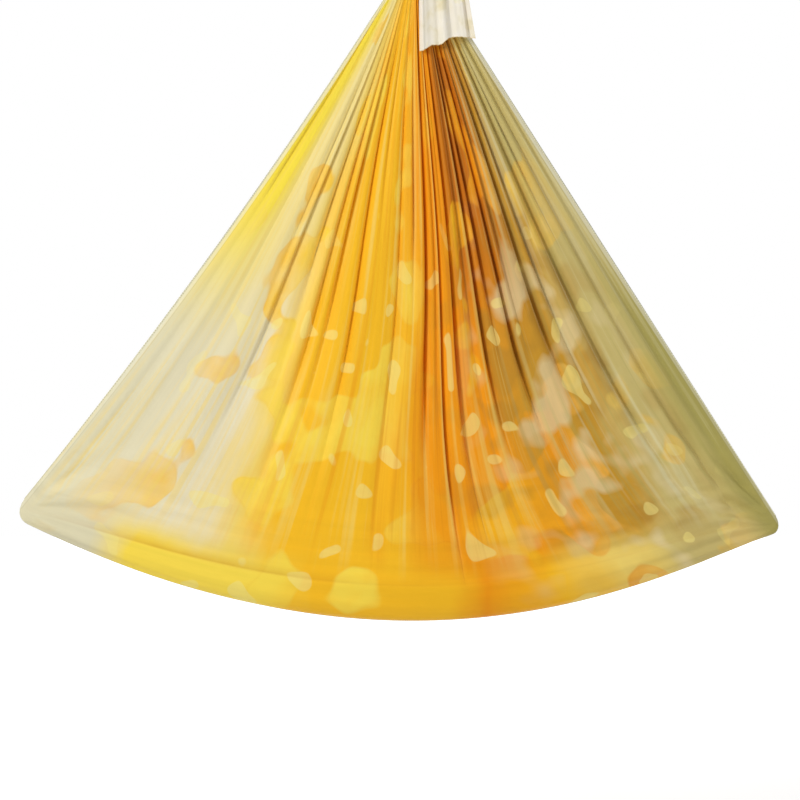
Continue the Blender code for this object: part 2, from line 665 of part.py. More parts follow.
def grid_piece(name, columns, rows, shape, finish, parent):
    """A sheet: a grid whose points a shape function places, given a wall by Solidify."""
    work = bmesh.new()
    bmesh.ops.create_grid(work, x_segments=columns, y_segments=rows, size=0.5)
    raw = np.array([vertex.co[:2] for vertex in work.verts]) + 0.5
    places = shape(np.rint(raw[:, 0] * columns).astype(int), raw[:, 1])
    origin = world_place(parent)
    for vertex, position in zip(work.verts, places):
        vertex.co = Vector(position) - origin
    mesh = bpy.data.meshes.new(name)
    work.to_mesh(mesh)
    work.free()
    piece = add_piece(name, mesh, finish, origin, parent)
    wall = piece.modifiers.new("wall", "SOLIDIFY")
    wall.thickness = CLOTH_THICKNESS
    wall.offset = 0.0


def crease_drop(column):
    """How far below the apex the leaves end and the seat begins."""
    return lowest_drop(column) - lens(column, SEAT_HEIGHT, SEAT_HEIGHT_HEM)


def leaf_depth(column, share):
    """A leaf's distance from the middle plane, without its folds. Share is 0 at the knot, 1 at the seat."""
    gather = lens(column, GATHER_DEPTH / 2, GATHER_DEPTH_HEM / 2)
    seat = lens(column, SEAT_DEPTH / 2, SEAT_DEPTH_HEM / 2)
    return gather * (1 - share) + seat * share + HEM_BULGE * np.sin(np.pi * share)


def fold_depth(column, share):
    """The folds' depth: small at the knot, full above the leaf's middle and gone at the seat."""
    swell = np.sin(np.pi * share**FOLD_FULLEST) ** FOLD_TAPER
    uneven = 1 - FOLD_UNEVEN + FOLD_UNEVEN * np.sin(UNEVEN_RATE * column + UNEVEN_PHASE)
    depth = FOLD_DEPTH_TOP * (1 - share) + FOLD_DEPTH * swell
    return depth * uneven * (1 - FOLD_LOSS_AT_HEM * column**2)


def build_cloth(knot_foot, parent):
    """The front and back leaves, and the trough that joins them."""
    apex_z = knot_foot + KNOT_BELOW_APEX
    columns = cloth_columns()
    count = len(columns) - 1

    def leaf(side):
        def shape(index, down):
            column = columns[index]
            angle = np.radians(hem_angle(across(column), KNOT_BELOW_APEX)) * across(column)
            top = (KNOT_BELOW_APEX + SEAT_GAP) / np.cos(angle)
            low = crease_drop(column) - SEAT_GAP
            share = down**ROW_CROWDING
            drop = top + (low - top) * share
            wave = fold_depth(column, share) * np.sin(np.pi * FOLD_COUNT * column)
            return fan_point(column, drop, side * (leaf_depth(column, share) + wave), apex_z)

        return shape

    grid_piece("front_leaf", count, LEAF_ROWS, leaf(-1), FRONT_CLOTH, parent)
    grid_piece("back_leaf", count, LEAF_ROWS, leaf(1), BACK_CLOTH, parent)

    def trough(index, around):
        column = columns[index]
        turn = np.pi * around
        height = lens(column, SEAT_HEIGHT, SEAT_HEIGHT_HEM)
        drop = lowest_drop(column) - height * (1 - np.sin(turn))
        depth = -lens(column, SEAT_DEPTH / 2, SEAT_DEPTH_HEM / 2) * np.cos(turn)
        return fan_point(column, drop, depth, apex_z)

    grid_piece("seat_fold", count, SEAT_ROWS, trough, SEAT_CLOTH, parent)


def build_tail(name, knot_foot, parent, side, left, right, lengths):
    """A loose end of the cloth: it leaves the knot narrow, falls over the leaf and spreads."""

    def shape(index, down):
        share = index / TAIL_COLUMNS
        spread = 1 - (1 - down) ** TAIL_SPREAD_POWER
        near = left[0] + (left[1] - left[0]) * spread
        far = right[0] + (right[1] - right[0]) * spread
        step = 1 / (1 + np.exp(-TAIL_STEP_SHARPNESS * (share - TAIL_STEP_AT)))
        length = lengths[0] + (lengths[1] - lengths[0]) * step
        fall = length * down
        below_knot = fall / (crease_drop(0.0) - KNOT_BELOW_APEX)
        clear = leaf_depth(0.0, below_knot) + fold_depth(0.0, below_knot) + TAIL_CLEARANCE
        pleat_depth = TAIL_PLEAT_DEPTH * (TAIL_PLEAT_AT_KNOT + (1 - TAIL_PLEAT_AT_KNOT) * spread)
        pleat = pleat_depth * np.sin(2 * np.pi * TAIL_PLEATS * share)
        x = near + (far - near) * share
        return np.stack([x, side * (clear + pleat), knot_foot - SEAT_GAP - fall], axis=-1)

    grid_piece(name, TAIL_COLUMNS, TAIL_ROWS, shape, CREAM_CLOTH, parent)


anchor = marker("anchor_marker", (0, 0, 0))
build_anchor(anchor)
eye_z = -PLATE_THICKNESS - EYE_DROP
upper_bar_z, upper_pivot = build_carabiner("upper", eye_z, EYE_BAR, anchor)
swivel_bar_z, swivel_spin = build_swivel(upper_bar_z, upper_pivot)
lower_bar_z, lower_pivot = build_carabiner("lower", swivel_bar_z, SWIVEL_EYE_BAR, swivel_spin)
ring_bar_z, hammock = build_ring(lower_bar_z, lower_pivot)
foot_z = build_knot(ring_bar_z, hammock)
build_cloth(foot_z, hammock)
front_tail = (FRONT_TAIL_LEFT, FRONT_TAIL_RIGHT, FRONT_TAIL_LENGTHS)
back_tail = (BACK_TAIL_LEFT, BACK_TAIL_RIGHT, BACK_TAIL_LENGTHS)
build_tail("tail_front", foot_z, hammock, -1, *front_tail)
build_tail("tail_back", foot_z, hammock, 1, *back_tail)
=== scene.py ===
"""Aerial hammock: the cloth, the finer hardware and all finishes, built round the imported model.

A wide sheet of dyed nylon tricot hangs doubled from a figure-eight ring. Carabiners and a swivel carry
the ring under a ceiling plate. Metres, +Z up, the origin in the middle of the plate's top face.
"""

import math
from types import SimpleNamespace

import bmesh
import bpy
import numpy as np
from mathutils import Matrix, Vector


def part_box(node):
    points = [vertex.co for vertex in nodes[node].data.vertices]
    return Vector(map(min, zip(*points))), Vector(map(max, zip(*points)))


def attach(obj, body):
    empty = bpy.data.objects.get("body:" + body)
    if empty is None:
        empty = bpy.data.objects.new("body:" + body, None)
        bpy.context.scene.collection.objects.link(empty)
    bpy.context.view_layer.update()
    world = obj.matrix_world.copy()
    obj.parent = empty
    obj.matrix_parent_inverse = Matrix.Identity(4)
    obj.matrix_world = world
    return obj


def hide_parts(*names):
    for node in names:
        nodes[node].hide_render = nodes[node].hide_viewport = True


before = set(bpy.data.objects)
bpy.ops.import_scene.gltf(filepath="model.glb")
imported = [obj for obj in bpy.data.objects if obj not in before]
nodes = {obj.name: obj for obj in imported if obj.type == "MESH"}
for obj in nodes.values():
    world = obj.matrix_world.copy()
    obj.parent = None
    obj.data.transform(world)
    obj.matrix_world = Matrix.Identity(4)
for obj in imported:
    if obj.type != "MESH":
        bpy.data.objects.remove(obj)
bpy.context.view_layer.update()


# The room: a pale floor, a white surround and soft studio lamps. The camera stands far off and level
# with the lower part of the cloth, so the fan is seen flat on and its hardware lies above the picture.

PICTURE_HEIGHT = 2.868
PICTURE_CENTRE = (-0.0538, -2.0757)
CAMERA_DISTANCE = 14.0
VIEW_DEPTH = 200.0
SENSOR = 36.0
FLOOR_Z = -3.62
FLOOR_SIZE = 60.0
FLOOR_GREY = (0.80, 0.80, 0.80, 1.0)
FLOOR_REACH = (2.5, 9.0)
FLOOR_GLOW = (0.40, 1.0)
ROOM_LIGHT = 0.48
WHITE = (1.0, 1.0, 1.0, 1.0)
LAMPS = (
    ("key_lamp", (-4.6, -4.2, 0.9), 1.8, 205.0),
    ("fill_lamp", (4.8, -5.0, -1.2), 3.0, 75.0),
    ("back_lamp", (-1.5, 4.6, 0.6), 3.0, 130.0),
)


def wire(tree, node, values):
    """Sets a node's inputs, each to a value or linked to another node's output."""
    for key, value in values.items():
        if isinstance(value, bpy.types.NodeSocket):
            tree.links.new(value, node.inputs[key])
        else:
            node.inputs[key].default_value = value


def add_node(tree, kind, values=None, **settings):
    """A shader node with its settings and its inputs."""
    made = tree.nodes.new("ShaderNode" + kind)
    for name, value in settings.items():
        setattr(made, name, value)
    wire(tree, made, values or {})
    return made


def math_node(tree, operation, *values):
    """The output of a Math node."""
    return add_node(tree, "Math", dict(enumerate(values)), operation=operation).outputs[0]


def remap(tree, value, low, high, to_low=0.0, to_high=1.0, curve="LINEAR"):
    """A value taken from the range low to high into the range to_low to to_high, and held at its ends."""
    ends = {"Value": value, "From Min": low, "From Max": high, "To Min": to_low, "To Max": to_high}
    return add_node(tree, "MapRange", ends, interpolation_type=curve).outputs[0]


def new_material(name):
    """A new material, its node tree and its shader."""
    made = bpy.data.materials.new(name)
    made.use_nodes = True
    return made, made.node_tree, made.node_tree.nodes["Principled BSDF"]


def seen_directly(tree):
    """1 for camera, mirror and see-through rays, 0 for the rays that light the object."""
    path = add_node(tree, "LightPath").outputs
    camera_or_gloss = math_node(tree, "MAXIMUM", path["Is Camera Ray"], path["Is Glossy Ray"])
    return math_node(tree, "MAXIMUM", camera_or_gloss, path["Is Transmission Ray"])


def white_surround():
    """A world that looks white and lights the object by ROOM_LIGHT alone."""
    world = bpy.data.worlds.new("white_room")
    world.use_nodes = True
    tree = world.node_tree
    strength = remap(tree, seen_directly(tree), 0.0, 1.0, ROOM_LIGHT, 1.0)
    wire(tree, tree.nodes["Background"], {"Color": WHITE, "Strength": strength})
    return world


def pale_floor():
    """A wide plane whose grey turns to the surround's white with the distance from the object."""
    bpy.ops.mesh.primitive_plane_add(size=FLOOR_SIZE, location=(0.0, 0.0, FLOOR_Z))
    floor = bpy.context.object
    floor.name = "floor"
    paint, tree, shader = new_material("floor_paint")
    place = add_node(tree, "TexCoord").outputs["Object"]
    reach = add_node(tree, "VectorMath", {0: place}, operation="LENGTH").outputs["Value"]
    glow = remap(tree, reach, *FLOOR_REACH, *FLOOR_GLOW)
    look = {
        "Base Color": FLOOR_GREY,
        "Roughness": 0.9,
        "Specular IOR Level": 0.1,
        "Emission Color": WHITE,
        "Emission Strength": math_node(tree, "MULTIPLY", glow, seen_directly(tree)),
    }
    wire(tree, shader, look)
    floor.data.materials.append(paint)


def hang_lamp(name, place, size, power):
    """A square lamp that is turned about two axes to face the middle of the picture."""
    lamp = bpy.data.lights.new(name, "AREA")
    lamp.size = size
    lamp.energy = power
    holder = bpy.data.objects.new(name, lamp)
    holder.location = place
    aim = np.array([PICTURE_CENTRE[0], 0.0, PICTURE_CENTRE[1]]) - np.array(place)
    turn = math.atan2(aim[0], -aim[1])
    tilt = math.atan2(np.hypot(aim[0], aim[1]), -aim[2])
    holder.rotation_euler = (tilt, 0.0, math.pi + turn)
    bpy.context.scene.collection.objects.link(holder)


def photo_camera():
    """A camera that looks straight along +Y and takes in PICTURE_HEIGHT at the object."""
    lens = bpy.data.cameras.new("camera")
    lens.sensor_width = SENSOR
    lens.lens = SENSOR * CAMERA_DISTANCE / PICTURE_HEIGHT
    lens.clip_end = VIEW_DEPTH
    camera = bpy.data.objects.new("camera", lens)
    camera.location = (PICTURE_CENTRE[0], -CAMERA_DISTANCE, PICTURE_CENTRE[1])
    camera.rotation_euler = (math.pi / 2, 0.0, 0.0)
    bpy.context.scene.collection.objects.link(camera)
    return camera


bpy.context.scene.view_settings.view_transform = "Standard"
bpy.context.scene.world = white_surround()
pale_floor()
for lamp in LAMPS:
    hang_lamp(*lamp)
bpy.context.scene.camera = photo_camera()


# The ceiling anchor: a zinc-plated steel plate held by four lag bolts with washers, and under it an eye,
# a U of round bar whose ends are welded to the plate. The plate and its fasteners are the CAD's own.

EYE_BAR_RADIUS = 0.006
EYE_BEND = 0.022
EYE_CENTRE_Z = -0.024
EYE_TOP_Z = -0.0063
WELD_SWELL = 0.0026
WELD_HEIGHT = 0.0022
WELD_BEADS = 13
WELD_BEAD_DEPTH = 0.10


def points_of(*numbers):
    """Points from x, y and z, or pairs from two numbers. A number may be the same for all of them."""
    return np.stack(np.broadcast_arrays(*numbers), axis=-1)


def placed(name, mesh):
    """A smooth object in the scene, from its mesh."""
    mesh.shade_smooth()
    piece = bpy.data.objects.new(name, mesh)
    bpy.context.scene.collection.objects.link(piece)
    return piece


def surface(name, points, uv=None):
    """A smooth mesh object from a grid of points of shape (rows, columns, 3), with its flat map.

    Its quads are wound to face the front where columns run to the right and rows run down.
    """
    rows, columns = points.shape[:2]
    corner = np.arange((rows - 1) * columns).reshape(rows - 1, columns)[:, :-1].ravel()
    quads = np.stack([corner, corner + columns, corner + columns + 1, corner + 1], axis=1)
    mesh = bpy.data.meshes.new(name)
    mesh.vertices.add(rows * columns)
    mesh.vertices.foreach_set("co", points.reshape(-1).astype(np.float32))
    mesh.loops.add(quads.size)
    mesh.loops.foreach_set("vertex_index", quads.ravel().astype(np.int32))
    mesh.polygons.add(len(quads))
    mesh.polygons.foreach_set("loop_start", np.arange(0, quads.size, 4, dtype=np.int32))
    mesh.update(calc_edges=True)
    if uv is not None:
        layer = mesh.uv_layers.new(name="OFBake")
        layer.uv.foreach_set("vector", uv.reshape(-1, 2)[quads.ravel()].ravel().astype(np.float32))
    return placed(name, mesh)


def unit_map(columns, rows):
    """A grid's own flat map, from 0 to 1 along its columns and its rows."""
    return np.stack(np.meshgrid(np.linspace(0, 1, columns), np.linspace(0, 1, rows)), axis=-1)


def welded(name, *grids):
    """One smooth mesh from grids whose rows are closed rings: the last column joins the first.

    Points that coincide are merged, so poles and closed profiles have no open edge. A single grid keeps
    its flat map, and more than one have none, as their maps would lie on each other.
    """
    work = bmesh.new()
    for grid in grids:
        closed = np.concatenate([grid, grid[:, :1]], axis=1)
        rows, columns = closed.shape[:2]
        shell = surface(name, closed, unit_map(columns, rows) if len(grids) == 1 else None)
        part = bmesh.new()
        part.from_mesh(shell.data)
        bmesh.ops.remove_doubles(part, verts=part.verts, dist=1e-7)
        bmesh.ops.recalc_face_normals(part, faces=part.faces)
        part.to_mesh(shell.data)
        part.free()
        work.from_mesh(shell.data)
        bpy.data.objects.remove(shell, do_unlink=True)
    mesh = bpy.data.meshes.new(name)
    work.to_mesh(mesh)
    work.free()
    return placed(name, mesh)


def carried(path, side, outline):
    """A closed outline carried along a path, on a grid of points.

    path is (n, 3), side is a unit vector across it or one for each point, and outline is (n or 1, m, 2), in
    the side's direction and in the direction tangent x side. Both ends are drawn in to a point.
    """
    tangent = np.gradient(path, axis=0)
    tangent /= np.linalg.norm(tangent, axis=1, keepdims=True)
    other = np.cross(tangent, side)
    other /= np.linalg.norm(other, axis=1, keepdims=True)
    across = np.cross(other, tangent)
    points = path[:, None] + outline[..., :1] * across[:, None] + outline[..., 1:] * other[:, None]
    first = np.repeat(path[:1], outline.shape[1], axis=0)[None]
    last = np.repeat(path[-1:], outline.shape[1], axis=0)[None]
    return np.concatenate([first, points, last])


def round_section(points):
    """A circle of radius 1 as angles and as (cosine, sine) pairs, its end not repeated."""
    turn = np.linspace(0, 2 * np.pi, points + 1)[:-1]
    return turn, points_of(np.cos(turn), np.sin(turn))


def u_path(leg, bend, bow, level=0.0):
    """Both coordinates of a U: along a leg, round half a circle about the level, back along a like leg."""
    across = np.concatenate([0 * leg - bend, bend * np.cos(bow), 0 * leg + bend])
    return across, np.concatenate([leg, level + bend * np.sin(bow), leg[::-1]])


def noise(tree, place, scale, detail, roughness=0.5):
    """Cloudy noise, 0 to 1."""
    values = {"Vector": place, "Scale": scale, "Detail": detail, "Roughness": roughness}
    return add_node(tree, "TexNoise", values).outputs["Fac"]


def scaled(tree, place, factors):
    """A place multiplied by a factor along each axis."""
    return add_node(tree, "VectorMath", {0: place, 1: factors}, operation="MULTIPLY").outputs[0]


def ramp_node(tree, value, stops):
    """A colour ramp through (position, colour) stops."""
    ramp = add_node(tree, "ValToRGB", {"Fac": value})
    elements = ramp.color_ramp.elements
    while len(elements) < len(stops):
        elements.new(0.5)
    for element, (position, colour) in zip(elements, stops):
        element.position = position
        element.color = colour
    return ramp.outputs["Color"]


def mix_colour(tree, amount, low, high, blend="MIX"):
    """Two colours mixed by an amount."""
    mix = add_node(tree, "Mix", data_type="RGBA", blend_type=blend)
    wire(tree, mix, {0: amount, 6: low, 7: high})
    return mix.outputs[2]


def bump(tree, height, strength, distance, **below):
    """The normal of a relief, which may lie on the Normal of another."""
    values = {"Height": height, "Strength": strength, "Distance": distance, **below}
    return add_node(tree, "Bump", values).outputs[0]


def metal_finish(name, clean, worn, polish, bloom_scale):
    """Metal: a cloudy bloom between a clean and a worn colour, specks, fine scratches, uneven polish.

    polish is the roughness where the bloom is clean and where it is worn.
    """
    made, tree, shader = new_material(name)
    place = add_node(tree, "TexCoord").outputs["Object"]
    bloom = noise(tree, place, bloom_scale, 5.0, 0.6)
    drawn = noise(tree, scaled(tree, place, (2600.0, 2600.0, 160.0)), 1.0, 3.0)
    specks = remap(tree, noise(tree, place, 900.0, 2.0), 0.60, 0.72, 0.0, 0.35)
    colour = ramp_node(tree, bloom, ((0.34, clean), (0.52, clean), (0.72, worn)))
    uneven = math_node(tree, "MULTIPLY_ADD", drawn, 0.6, bloom)
    look = {
        "Metallic": 1.0,
        "Base Color": mix_colour(tree, specks, colour, worn),
        "Roughness": remap(tree, uneven, 0.5, 1.1, *polish),
        "Normal": bump(tree, drawn, 0.25, 0.00006),
    }
    wire(tree, shader, look)
    return made


def finish_node(name, finish):
    """Gives a CAD node that stays as it is its finish."""
    for slot in nodes[name].material_slots:
        slot.material = finish


def add_piece(piece, body, finish, slot, *replaced):
    """A new piece's finish, body and the CAD nodes that it stands for. Its slot argument is not used."""
    piece.data.materials.append(finish)
    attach(piece, body)
    if replaced:
        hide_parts(*replaced)


zinc = metal_finish("zinc_plate", (0.27, 0.275, 0.28, 1), (0.17, 0.165, 0.15, 1), (0.34, 0.58), 130.0)
for name in ("ceiling_plate", *(f"anchor_{kind}_{n}" for kind in ("bolt", "washer") for n in (1, 2, 3, 4))):
    finish_node(name, zinc)

bar_turn, bar_section = round_section(32)
eye_leg = np.linspace(EYE_TOP_Z, EYE_CENTRE_Z, 24)[:-1]
eye_x, eye_z = u_path(eye_leg, EYE_BEND, np.linspace(np.pi, 2 * np.pi, 49), EYE_CENTRE_Z)
weld = WELD_SWELL * np.exp(-(((eye_z - EYE_TOP_Z) / WELD_HEIGHT) ** 2))
bead = 1 + WELD_BEAD_DEPTH * np.sin(WELD_BEADS * bar_turn)
eye_outline = (EYE_BAR_RADIUS + weld[:, None] * bead)[..., None] * bar_section
eye_grid = carried(points_of(eye_x, 0, eye_z), (0.0, 1.0, 0.0), eye_outline)
anchor_eye = welded("anchor_u_bar", eye_grid)
add_piece(anchor_eye, "anchor", zinc, "zinc_plated_steel", "anchor_eye")


# The two carabiners: ovals of polished round bar, forged to a tongue at the hinge and turned down to a
# nose at the top. A sprung gate pivots on a rivet, and a knurled alloy sleeve screws up over the nose.

CARABINER_BAR_RADIUS = 0.0055
CARABINER_BEND = 0.0245
CARABINER_HALF_STRAIGHT = 0.027
TONGUE_HALF_THICKNESS = 0.0017
TONGUE_HALF_WIDTH = 0.0035
TONGUE_POWER = 0.35
TONGUE_THINNEST = 0.002
NOSE_RADIUS = 0.00475
NOSE_FOOT = 0.0195
NOSE_BEVEL = 0.0006
NECK_LENGTH = 0.0012
NECK_BEVEL = 0.0003
SHOULDER = -0.023
SHOULDER_BEVEL = 0.0005
STEP_LENGTH = 0.0004
RIVET_LEVEL = -0.01765
SLEEVE_INNER = 0.00505
SLEEVE_OUTER = 0.0070
SLEEVE_LENGTH = 0.020
SLEEVE_FOOT = 0.0075
SLEEVE_BEVEL = 0.0006
KNURL_DEPTH = 0.00035
KNURL_LINES = 14
KNURL_PITCH = 0.0056
KNURL_FLANK = 2.2
KNURL_START = 0.0024
KNURL_RUN_OUT = 0.0004


def carabiner_frame(name, centre_z):
    """The frame on one path, from the tongue's top down round the oval to the nose.

    Its section is a superellipse whose half widths and power follow the path: flat at the tongue, round
    in the bar, thinner at the nose.
    """
    bend = CARABINER_BEND
    straight = CARABINER_HALF_STRAIGHT
    knuckle = RIVET_LEVEL + TONGUE_HALF_WIDTH * np.sin(np.linspace(np.pi / 2, 0, 9))
    tongue = np.linspace(RIVET_LEVEL, SHOULDER, 10)[1:]
    stub = np.linspace(SHOULDER - STEP_LENGTH, -straight, 8)
    lower = np.linspace(0, -np.pi, 49)[1:]
    spine = np.linspace(-straight, straight, 30)[1:]
    upper = np.linspace(np.pi, 0, 49)[1:]
    neck = np.linspace(straight - NECK_LENGTH, NOSE_FOOT + STEP_LENGTH, 8)
    turned = np.array([straight - STEP_LENGTH, *neck, NOSE_FOOT])
    gate_side = np.full(len(knuckle) + len(tongue) + len(stub), bend)
    round_y = [bend * np.cos(lower), 0 * spine - bend, bend * np.cos(upper)]
    round_z = [-straight + bend * np.sin(lower), spine, straight + bend * np.sin(upper)]
    y = np.concatenate([gate_side, *round_y, 0 * turned + bend])
    z = np.concatenate([knuckle, tongue, stub, *round_z, turned])
    flat = len(knuckle) + len(tongue)
    bar = np.full(len(y) - flat - len(turned), CARABINER_BAR_RADIUS)
    bar[0] -= SHOULDER_BEVEL
    nose = np.full(len(turned), NOSE_RADIUS)
    nose[0] = CARABINER_BAR_RADIUS - NECK_BEVEL
    nose[-1] -= NOSE_BEVEL
    crown = np.sqrt(np.clip(1 - ((knuckle - RIVET_LEVEL) / TONGUE_HALF_WIDTH) ** 2, TONGUE_THINNEST, 1))
    thick = np.concatenate([np.full(flat, TONGUE_HALF_THICKNESS), bar, nose])
    wide = np.concatenate([TONGUE_HALF_WIDTH * crown, np.full(len(tongue), TONGUE_HALF_WIDTH), bar, nose])
    power = np.concatenate([np.full(flat, TONGUE_POWER), np.full(len(bar) + len(nose), 1.0)])
    half_widths = np.stack([thick, wide], axis=-1)[:, None]
    outline = half_widths * np.sign(bar_section) * np.abs(bar_section) ** power[:, None, None]
    return welded(name, carried(points_of(0, y, centre_z + z), (1.0, 0.0, 0.0), outline))


def lock_sleeve(name, foot_z):
    """A sleeve with a diamond knurl between plain rims.

    Two crossed sets of grooves, |sin(lines * turn + height)| and |sin(lines * turn - height)|, are cut
    where the lesser of the two is small.
    """
    height = np.linspace(0, SLEEVE_LENGTH, 81)[:, None]
    turn, _ = round_section(112)
    wave = 2 * np.pi * height / KNURL_PITCH
    crossed = np.minimum(np.abs(np.sin(KNURL_LINES * turn + wave)), np.abs(np.sin(KNURL_LINES * turn - wave)))
    from_end = np.minimum(height, SLEEVE_LENGTH - height)
    inside = np.clip((from_end - KNURL_START) / KNURL_RUN_OUT, 0, 1)
    rim = np.clip(from_end / SLEEVE_BEVEL, 0, 1)
    groove = KNURL_DEPTH * inside * (1 - np.clip(crossed * KNURL_FLANK, 0, 1))
    radius = SLEEVE_OUTER - SLEEVE_BEVEL * (1 - rim) - groove
    radius = np.concatenate([radius, np.full((2, turn.size), SLEEVE_INNER), radius[:1]])
    level = np.concatenate([height, [[SLEEVE_LENGTH], [0.0]], height[:1]])
    x, y = radius * np.cos(turn), CARABINER_BEND + radius * np.sin(turn)
    return welded(name, points_of(x, y, foot_z + level))


steel = metal_finish("polished_bar", (0.30, 0.31, 0.325, 1), (0.20, 0.20, 0.21, 1), (0.16, 0.34), 90.0)
alloy = metal_finish(
    "dark_anodising", (0.045, 0.048, 0.055, 1), (0.085, 0.088, 0.094, 1), (0.26, 0.42), 160.0
)
for level in ("upper", "lower"):
    frame_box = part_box(f"{level}_carabiner_frame")
    centre_z = (frame_box[0].z + frame_box[1].z) / 2
    frame_piece = carabiner_frame(f"{level}_carabiner_bar", centre_z)
    add_piece(frame_piece, f"{level}_carabiner", steel, "polished_steel", f"{level}_carabiner_frame")
    sleeve = lock_sleeve(f"{level}_knurled_sleeve", centre_z + RIVET_LEVEL + SLEEVE_FOOT)
    add_piece(sleeve, f"{level}_sleeve", alloy, "anodised_alloy", f"{level}_lock_sleeve")
    for name in (f"{level}_gate", f"{level}_gate_rivet", f"{level}_gate_spring"):
        finish_node(name, steel)


# The swivel: a turned steel housing with a ring forged on its roof, a screwed cap, and inside them a
# bearing and a nut on the shaft of the lower ring, which turns freely under the cap.

SWIVEL_RING_RADIUS = 0.005
SWIVEL_RING_BEND = 0.016
RING_SUNK = 0.0025
AXIS_HOLE = 0.0004
HOUSING_RADIUS = 0.017
HOUSING_EDGE = 0.0006
CAVITY_RADIUS = 0.013
CAVITY_CEILING = -0.1669
CAP_BORE = 0.0053
CAP_SEAM = 0.0003
CAP_CHAMFER = 0.0012
CAP_EDGE = 0.0004
CAP_SPIGOT_RADIUS = 0.0127
SHAFT_RADIUS = 0.005
SHAFT_BEVEL = 0.0006
SHAFT_COLLAR = 0.0068
COLLAR_END = 0.0020
SHAFT_END = 0.0042
SHAFT_TIP = 0.0050
# The housing's outside, from its axis over the neck and the roof's chamfer to the groove in its wall, as
# pairs of a radius and a height above the roof.
HOUSING_OUTSIDE = (
    (AXIS_HOLE, 0.0018), (0.0072, 0.0012), (0.0088, -0.0006), (0.015, -0.0010), (0.017, -0.0030),
    (0.017, -0.0125), (0.0163, -0.0131), (0.0163, -0.0143), (0.017, -0.0149),
)


def ring_grid(centre_z, bend, bar_radius, around=96, section=28):
    """A ring of round bar in the XZ plane: a circle carried round a circle, its ends laid together."""
    turn = np.linspace(0, 2 * np.pi, around + 1)[:, None]
    face, _ = round_section(section)
    reach = bend + bar_radius * np.cos(face)
    return points_of(reach * np.sin(turn), bar_radius * np.sin(face), centre_z + reach * np.cos(turn))


def turned_grid(profile, segments=72):
    """A profile of (radius, height) pairs turned about the vertical through the origin."""
    radius, height = np.array(profile).T[..., None]
    turn, _ = round_section(segments)
    return points_of(radius * np.cos(turn), radius * np.sin(turn), height)


def rounded_profile(corners, radius, steps=5):
    """A closed profile whose corners are rounded: each becomes an arc that cuts it by the radius.

    The arc is a quadratic curve from one side to the other, with the corner as its middle point.
    """
    corners = np.array(corners, dtype=float)
    ends = []
    for shift in (1, -1):
        leg = np.roll(corners, shift, axis=0) - corners
        length = np.linalg.norm(leg, axis=1, keepdims=True)
        ends.append((corners + leg * np.minimum(radius / length, 0.45))[:, None])
    t = np.linspace(0, 1, steps)[None, :, None]
    bend = ends[0] * (1 - t) ** 2 + 2 * corners[:, None] * t * (1 - t) + ends[1] * t**2
    points = bend.reshape(-1, 2)
    return np.concatenate([points, points[:1]])


cap_low, cap_high = (corner.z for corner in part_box("swivel_cap"))
housing_foot, housing_top = (corner.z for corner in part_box("swivel_housing"))
ring_reach = SWIVEL_RING_BEND + SWIVEL_RING_RADIUS
upper_ring_z = housing_top - ring_reach
roof = upper_ring_z - ring_reach + RING_SUNK
housing_profile = (
    *((radius, roof + height) for radius, height in HOUSING_OUTSIDE),
    (HOUSING_RADIUS, housing_foot),
    (CAVITY_RADIUS, housing_foot),
    (CAVITY_RADIUS, CAVITY_CEILING),
    (AXIS_HOLE, CAVITY_CEILING),
)
housing = welded(
    "swivel_bell",
    turned_grid(rounded_profile(housing_profile, HOUSING_EDGE)),
    ring_grid(upper_ring_z, SWIVEL_RING_BEND, SWIVEL_RING_RADIUS),
)
add_piece(housing, "swivel_body", steel, "polished_steel", "swivel_housing")
cap_profile = (
    (CAP_SPIGOT_RADIUS, cap_high),
    (CAP_SPIGOT_RADIUS, housing_foot - CAP_SEAM),
    (HOUSING_RADIUS, housing_foot - CAP_SEAM),
    (HOUSING_RADIUS, cap_low + CAP_CHAMFER),
    (HOUSING_RADIUS - CAP_CHAMFER, cap_low),
    (CAP_BORE, cap_low),
    (CAP_BORE, cap_high),
)
cap = welded("swivel_screw_cap", turned_grid(rounded_profile(cap_profile, CAP_EDGE)))
add_piece(cap, "swivel_body", steel, "polished_steel", "swivel_cap")
eye_foot, shaft_top = (corner.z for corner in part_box("swivel_eye"))
lower_ring_z = eye_foot + ring_reach
ring_crown = lower_ring_z + ring_reach
shaft_profile = (
    (0.0, shaft_top),
    (SHAFT_RADIUS - SHAFT_BEVEL, shaft_top),
    (SHAFT_RADIUS, shaft_top - SHAFT_BEVEL),
    (SHAFT_RADIUS, cap_low - SHAFT_BEVEL),
    (SHAFT_COLLAR, cap_low - 2 * SHAFT_BEVEL),
    (SHAFT_COLLAR, ring_crown - COLLAR_END),
    (SHAFT_RADIUS, ring_crown - SHAFT_END),
    (0.0, ring_crown - SHAFT_TIP),
)
lower_eye = welded(
    "swivel_ring_and_shaft",
    turned_grid(shaft_profile),
    ring_grid(lower_ring_z, SWIVEL_RING_BEND, SWIVEL_RING_RADIUS),
)
add_piece(lower_eye, "swivel_lower", steel, "polished_steel", "swivel_eye")
bronze = metal_finish("bearing_bronze", (0.36, 0.22, 0.09, 1), (0.22, 0.13, 0.05, 1), (0.26, 0.42), 150.0)
finish_node("swivel_bearing", bronze)
finish_node("swivel_nut", zinc)


# The figure-eight ring: one forging of dark anodised alloy. Its small ring hangs in the lower carabiner,
# and the cloth's gathered top goes through the large one. A thick waist joins the two.

EIGHT_BAR_RADIUS = 0.006
EIGHT_SMALL_BEND = 0.018
EIGHT_LARGE_BEND = 0.032
WAIST_HALF_WIDTH = 0.0125
WAIST_HALF_DEPTH = 0.0057
WAIST_HALF_HEIGHT = 0.0078

